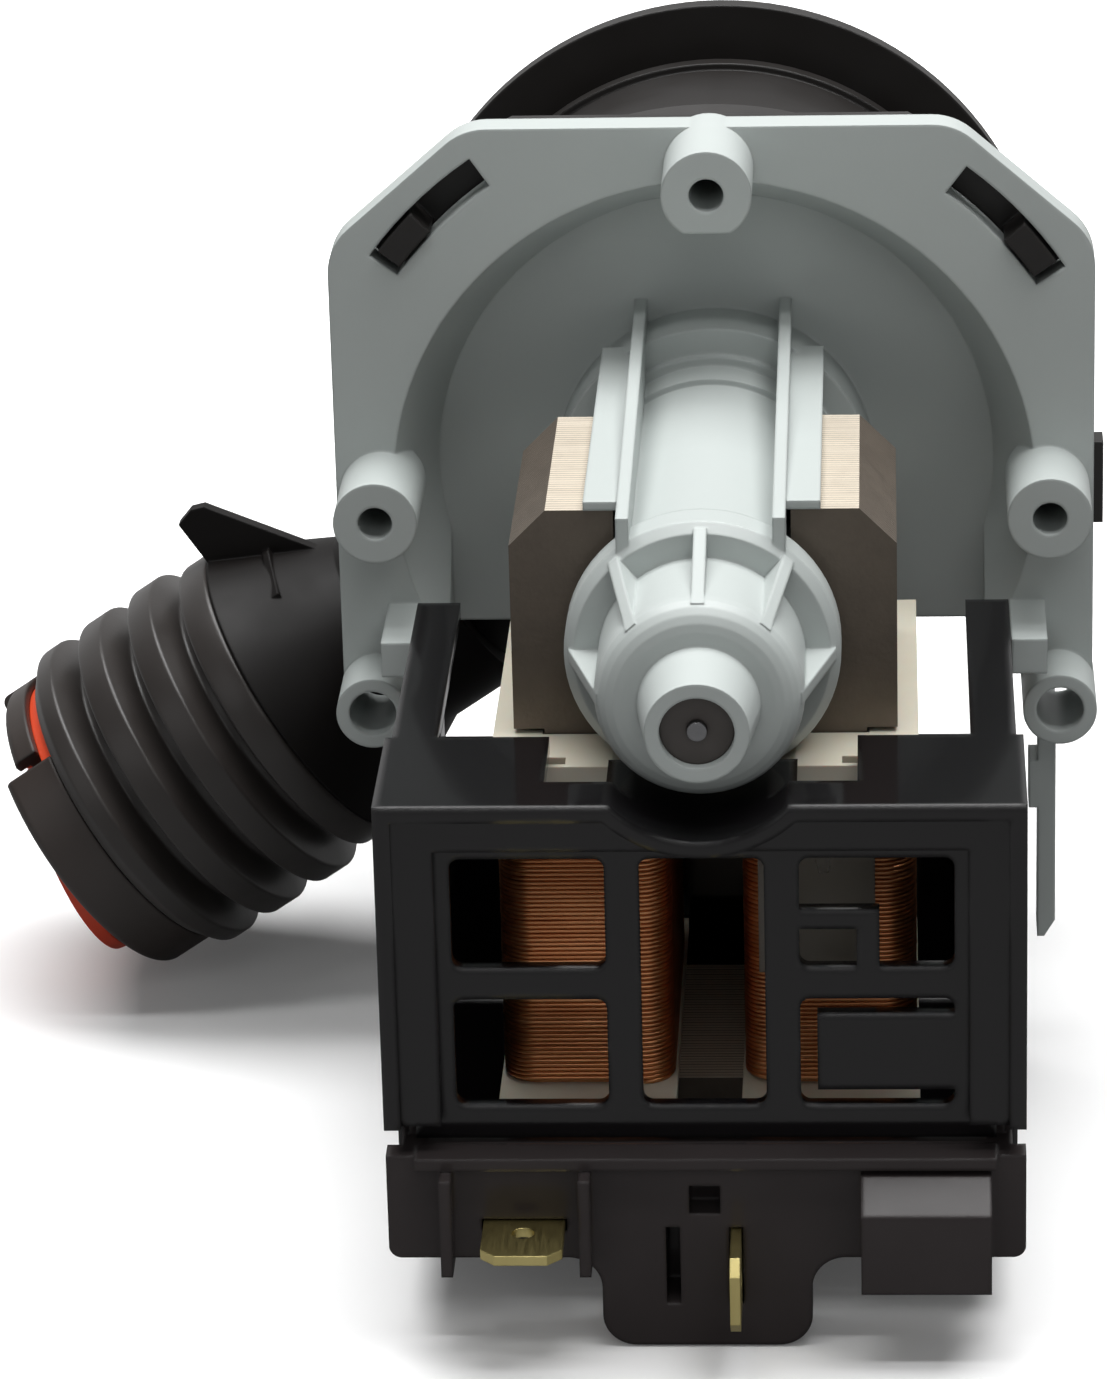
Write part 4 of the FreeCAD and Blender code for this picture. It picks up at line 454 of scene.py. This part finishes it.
def arc_points(centre, radius, start, stop, steps):
    """Points along an arc, between two bearings in degrees."""
    points = []
    for step in range(steps + 1):
        angle = math.radians(start + (stop - start) * step / steps)
        points.append((centre[0] + radius * math.cos(angle), centre[1] + radius * math.sin(angle)))
    return points


def hose_outline():
    """Along and outwards, in mm: the cuff, the ribs slanted on the duct's side, and the collar's end."""
    line = [(HOSE_START, 13.9)]
    line += arc_points((45.96, 14.0), 0.4, 180, 90, 3)
    line += arc_points((48.3, 14.1), 0.3, 90, 0, 3)
    line += arc_points((49.3, 12.95), 0.55, 190, 270, 4)
    for number in range(RIB_COUNT):
        middle = RIB_MIDDLE + RIB_PITCH * number
        line += arc_points((middle - 2.75, 12.75), 0.35, 270, 335, 3)
        line += arc_points((middle - 1.1, 14.84), 0.26, 155, 90, 4)
        if number < RIB_COUNT - 1:
            line += arc_points((middle + 1.0, 14.82), 0.28, 90, 8, 4)
            line += arc_points((middle + 1.72, 12.75), 0.35, 188, 270, 4)
    line += arc_points((middle + 0.1, 14.4), 0.7, 90, 70, 2)
    line += arc_points((64.35, 13.75), 0.3, 65, 0, 4)
    return line


def turn_on_outlet(mesh, outline, around=96):
    """Turns a closed outline about the outlet's line."""
    rings = []
    for along, out in outline:
        rings.append([mesh.verts.new(on_outlet(along, out, 2 * math.pi * step / around))
                      for step in range(around)])
    for first, second in zip(rings, rings[1:] + rings[:1]):
        for step in range(around):
            other = (step + 1) % around
            mesh.faces.new((first[step], first[other], second[other], second[step]))
    bmesh.ops.recalc_face_normals(mesh, faces=mesh.faces)


def ribbed_hose():
    """The rubber hose between the duct and its end collar."""
    outline = hose_outline()
    bore = [(HOSE_END, BORE_RADIUS)]
    for along, out in reversed(outline):
        if WAVY_BORE_START < along < WAVY_BORE_END:
            bore.append((along, max(LEAST_BORE, min(out - HOSE_WALL, GREATEST_BORE))))
    bore += [(PLAIN_BORE_STOP, BORE_RADIUS), (HOSE_START, BORE_RADIUS)]
    mesh = bmesh.new()
    turn_on_outlet(mesh, outline + bore)
    hose = new_piece("ribbed_hose", mesh, None, FINISHES["black_rubber"])
    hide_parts("bellows")
    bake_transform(hose)


# floor, light and camera

# the soft boxes: name, place, the point aimed at, width and height in metres, and power in watts
SOFT_BOXES = (
    ("light_above", (0.02, 0.08, 0.60), (0, 0.01, 0), 0.80, 0.32, 7.4),
    ("light_edge_strip", (0.0, -0.20, 0.60), (0, 0, 0), 0.60, 0.05, 1.2),
    ("light_left", (-0.52, -0.50, 0.24), (0, 0, -0.01), 0.40, 0.35, 0.28),
    ("light_right", (0.50, -0.55, 0.14), (0, 0, -0.01), 0.40, 0.35, 0.26),
    ("light_front", (0.05, -0.60, 0.42), (0, 0, -0.01), 0.40, 0.25, 0.4),
)


def pale_stage():
    """A pale sweep under and behind the pump: near white to the camera, dimmer in shiny surfaces."""
    finish = start_finish("pale_sweep")
    rays = add(finish, "LightPath")
    seen = add(finish, "Math", {"operation": "ADD"},
               {0: rays.outputs["Is Camera Ray"], 1: rays.outputs["Is Transmission Ray"]})
    spot = add(finish, "NewGeometry").outputs["Position"]
    away = add(finish, "VectorMath", {"operation": "LENGTH"}, {0: spot})
    # shiny surfaces see the far sweep pale and the bench under the pump darker
    mirrored = add(finish, "MapRange", {}, {"Value": away.outputs["Value"], "From Min": 0.6, "From Max": 1.1,
                                            "To Min": 0.12, "To Max": 0.6})
    seen_too = add(finish, "Math", {"operation": "MULTIPLY_ADD"},
                   {0: rays.outputs["Is Glossy Ray"], 1: mirrored.outputs[0], 2: seen.outputs[0]})
    # the bench's own grey, a shade darker in shiny surfaces
    floor_tint = add(finish, "Mix", {"data_type": "RGBA"},
                     {0: rays.outputs["Is Glossy Ray"], 6: linear("#8E8E8E"), 7: linear("#848484")})
    lift = add(finish, "MapRange", {}, {"Value": away.outputs["Value"], "From Min": 0.09, "From Max": 0.32,
                                        "To Min": 0.05, "To Max": 0.9})
    glow = add(finish, "Math", {"operation": "MULTIPLY"}, {0: seen_too.outputs[0], 1: lift.outputs[0]})
    # a grey bench that only looks like white paper, so it throws less light back up at the pump
    shade = add(finish, "Mix", {"data_type": "RGBA"},
                {0: seen.outputs[0], 6: floor_tint.outputs[2], 7: linear("#F4F4F4")})
    paper = add(finish, "BsdfDiffuse", {}, {"Color": shade.outputs[2]})
    light = add(finish, "Emission", {}, {"Color": linear("#FFFFFF"), "Strength": glow.outputs[0]})
    both = add(finish, "AddShader", {}, {0: paper.outputs[0], 1: light.outputs[0]})
    end_finish(finish, both)
    # the sweep's profile along Y: a flat bench, a quarter round of this bend, then straight up
    bend = 0.5
    bend_starts = 0.9
    half_wide = 3.0
    rows = [(-2.5, 0.0)]
    for degrees in range(0, 91, 6):
        turn = math.radians(degrees)
        rows.append((bend_starts + bend * math.sin(turn), bend - bend * math.cos(turn)))
    rows.append((bend_starts + bend, 2.5))
    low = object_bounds()[0]
    bench_level = low.z - 0.0002
    mesh = bmesh.new()
    edges = []
    for place, height in rows:
        edges.append((mesh.verts.new((-half_wide, place, bench_level + height)),
                      mesh.verts.new((half_wide, place, bench_level + height))))
    for first, second in zip(edges, edges[1:]):
        mesh.faces.new((first[0], first[1], second[1], second[0]))
    made = bpy.data.meshes.new("sweep")
    mesh.to_mesh(made)
    mesh.free()
    made.materials.append(finish)
    for face in made.polygons:
        face.use_smooth = True
    sweep = bpy.data.objects.new("sweep", made)
    bpy.context.scene.collection.objects.link(sweep)


def surround():
    """An even pale room: white where the camera looks past the sweep, dimmer as a source of light."""
    world = bpy.data.worlds.new("room")
    bpy.context.scene.world = world
    world.use_nodes = True
    world.node_tree.nodes.clear()
    rays = add(world, "LightPath")
    level = add(world, "Math", {"operation": "MULTIPLY_ADD"},
                {0: rays.outputs["Is Camera Ray"], 1: 0.86, 2: 0.14})
    sky = add(world, "Background", {}, {"Color": linear("#FFFFFF"), "Strength": level.outputs[0]})
    add(world, "OutputWorld", {}, {"Surface": sky.outputs[0]})


def soft_light(name, place, aim, width, height, power):
    """One soft box, aimed at a point."""
    lamp = bpy.data.lights.new(name, "AREA")
    lamp.shape = "RECTANGLE"
    lamp.size = width
    lamp.size_y = height
    lamp.energy = power
    box = bpy.data.objects.new(name, lamp)
    bpy.context.scene.collection.objects.link(box)
    box.location = place
    box.rotation_mode = "QUATERNION"
    box.rotation_quaternion = (Vector(aim) - Vector(place)).to_track_quat("-Z", "Y")


def studio_lights():
    """Sets up every soft box of the table."""
    for name, place, aim, width, height, power in SOFT_BOXES:
        soft_light(name, place, aim, width, height, power)


def photo_camera():
    """The camera of the photograph: place, aim and roll, and a lens for its tall frame."""
    swing = math.radians(-3.347)
    roll = math.radians(-1.576)
    ahead = Vector((-0.05424, 0.92747, -0.36994)).normalized()
    level = Vector((math.cos(swing), -math.sin(swing), 0))
    level = (level - ahead * level.dot(ahead)).normalized()
    upright = level.cross(ahead)
    right = math.cos(roll) * level + math.sin(roll) * upright
    up = -math.sin(roll) * level + math.cos(roll) * upright
    turn = Matrix((right, up, -ahead)).transposed().to_4x4()
    view = bpy.data.cameras.new("photo_camera")
    view.sensor_width = 36.0
    view.lens = 158.93
    view.clip_start = 0.02
    view.clip_end = 20.0
    camera = bpy.data.objects.new("photo_camera", view)
    bpy.context.scene.collection.objects.link(camera)
    camera.matrix_world = Matrix.Translation((0.013964, -0.465505, 0.171039)) @ turn
    bpy.context.scene.camera = camera


photo_camera()
surround()
pale_stage()
studio_lights()
dress_solids()
wind_coil("left")
wind_coil("right")
stack_sheets()
ribbed_hose()
bpy.context.scene.view_settings.view_transform = "Standard"
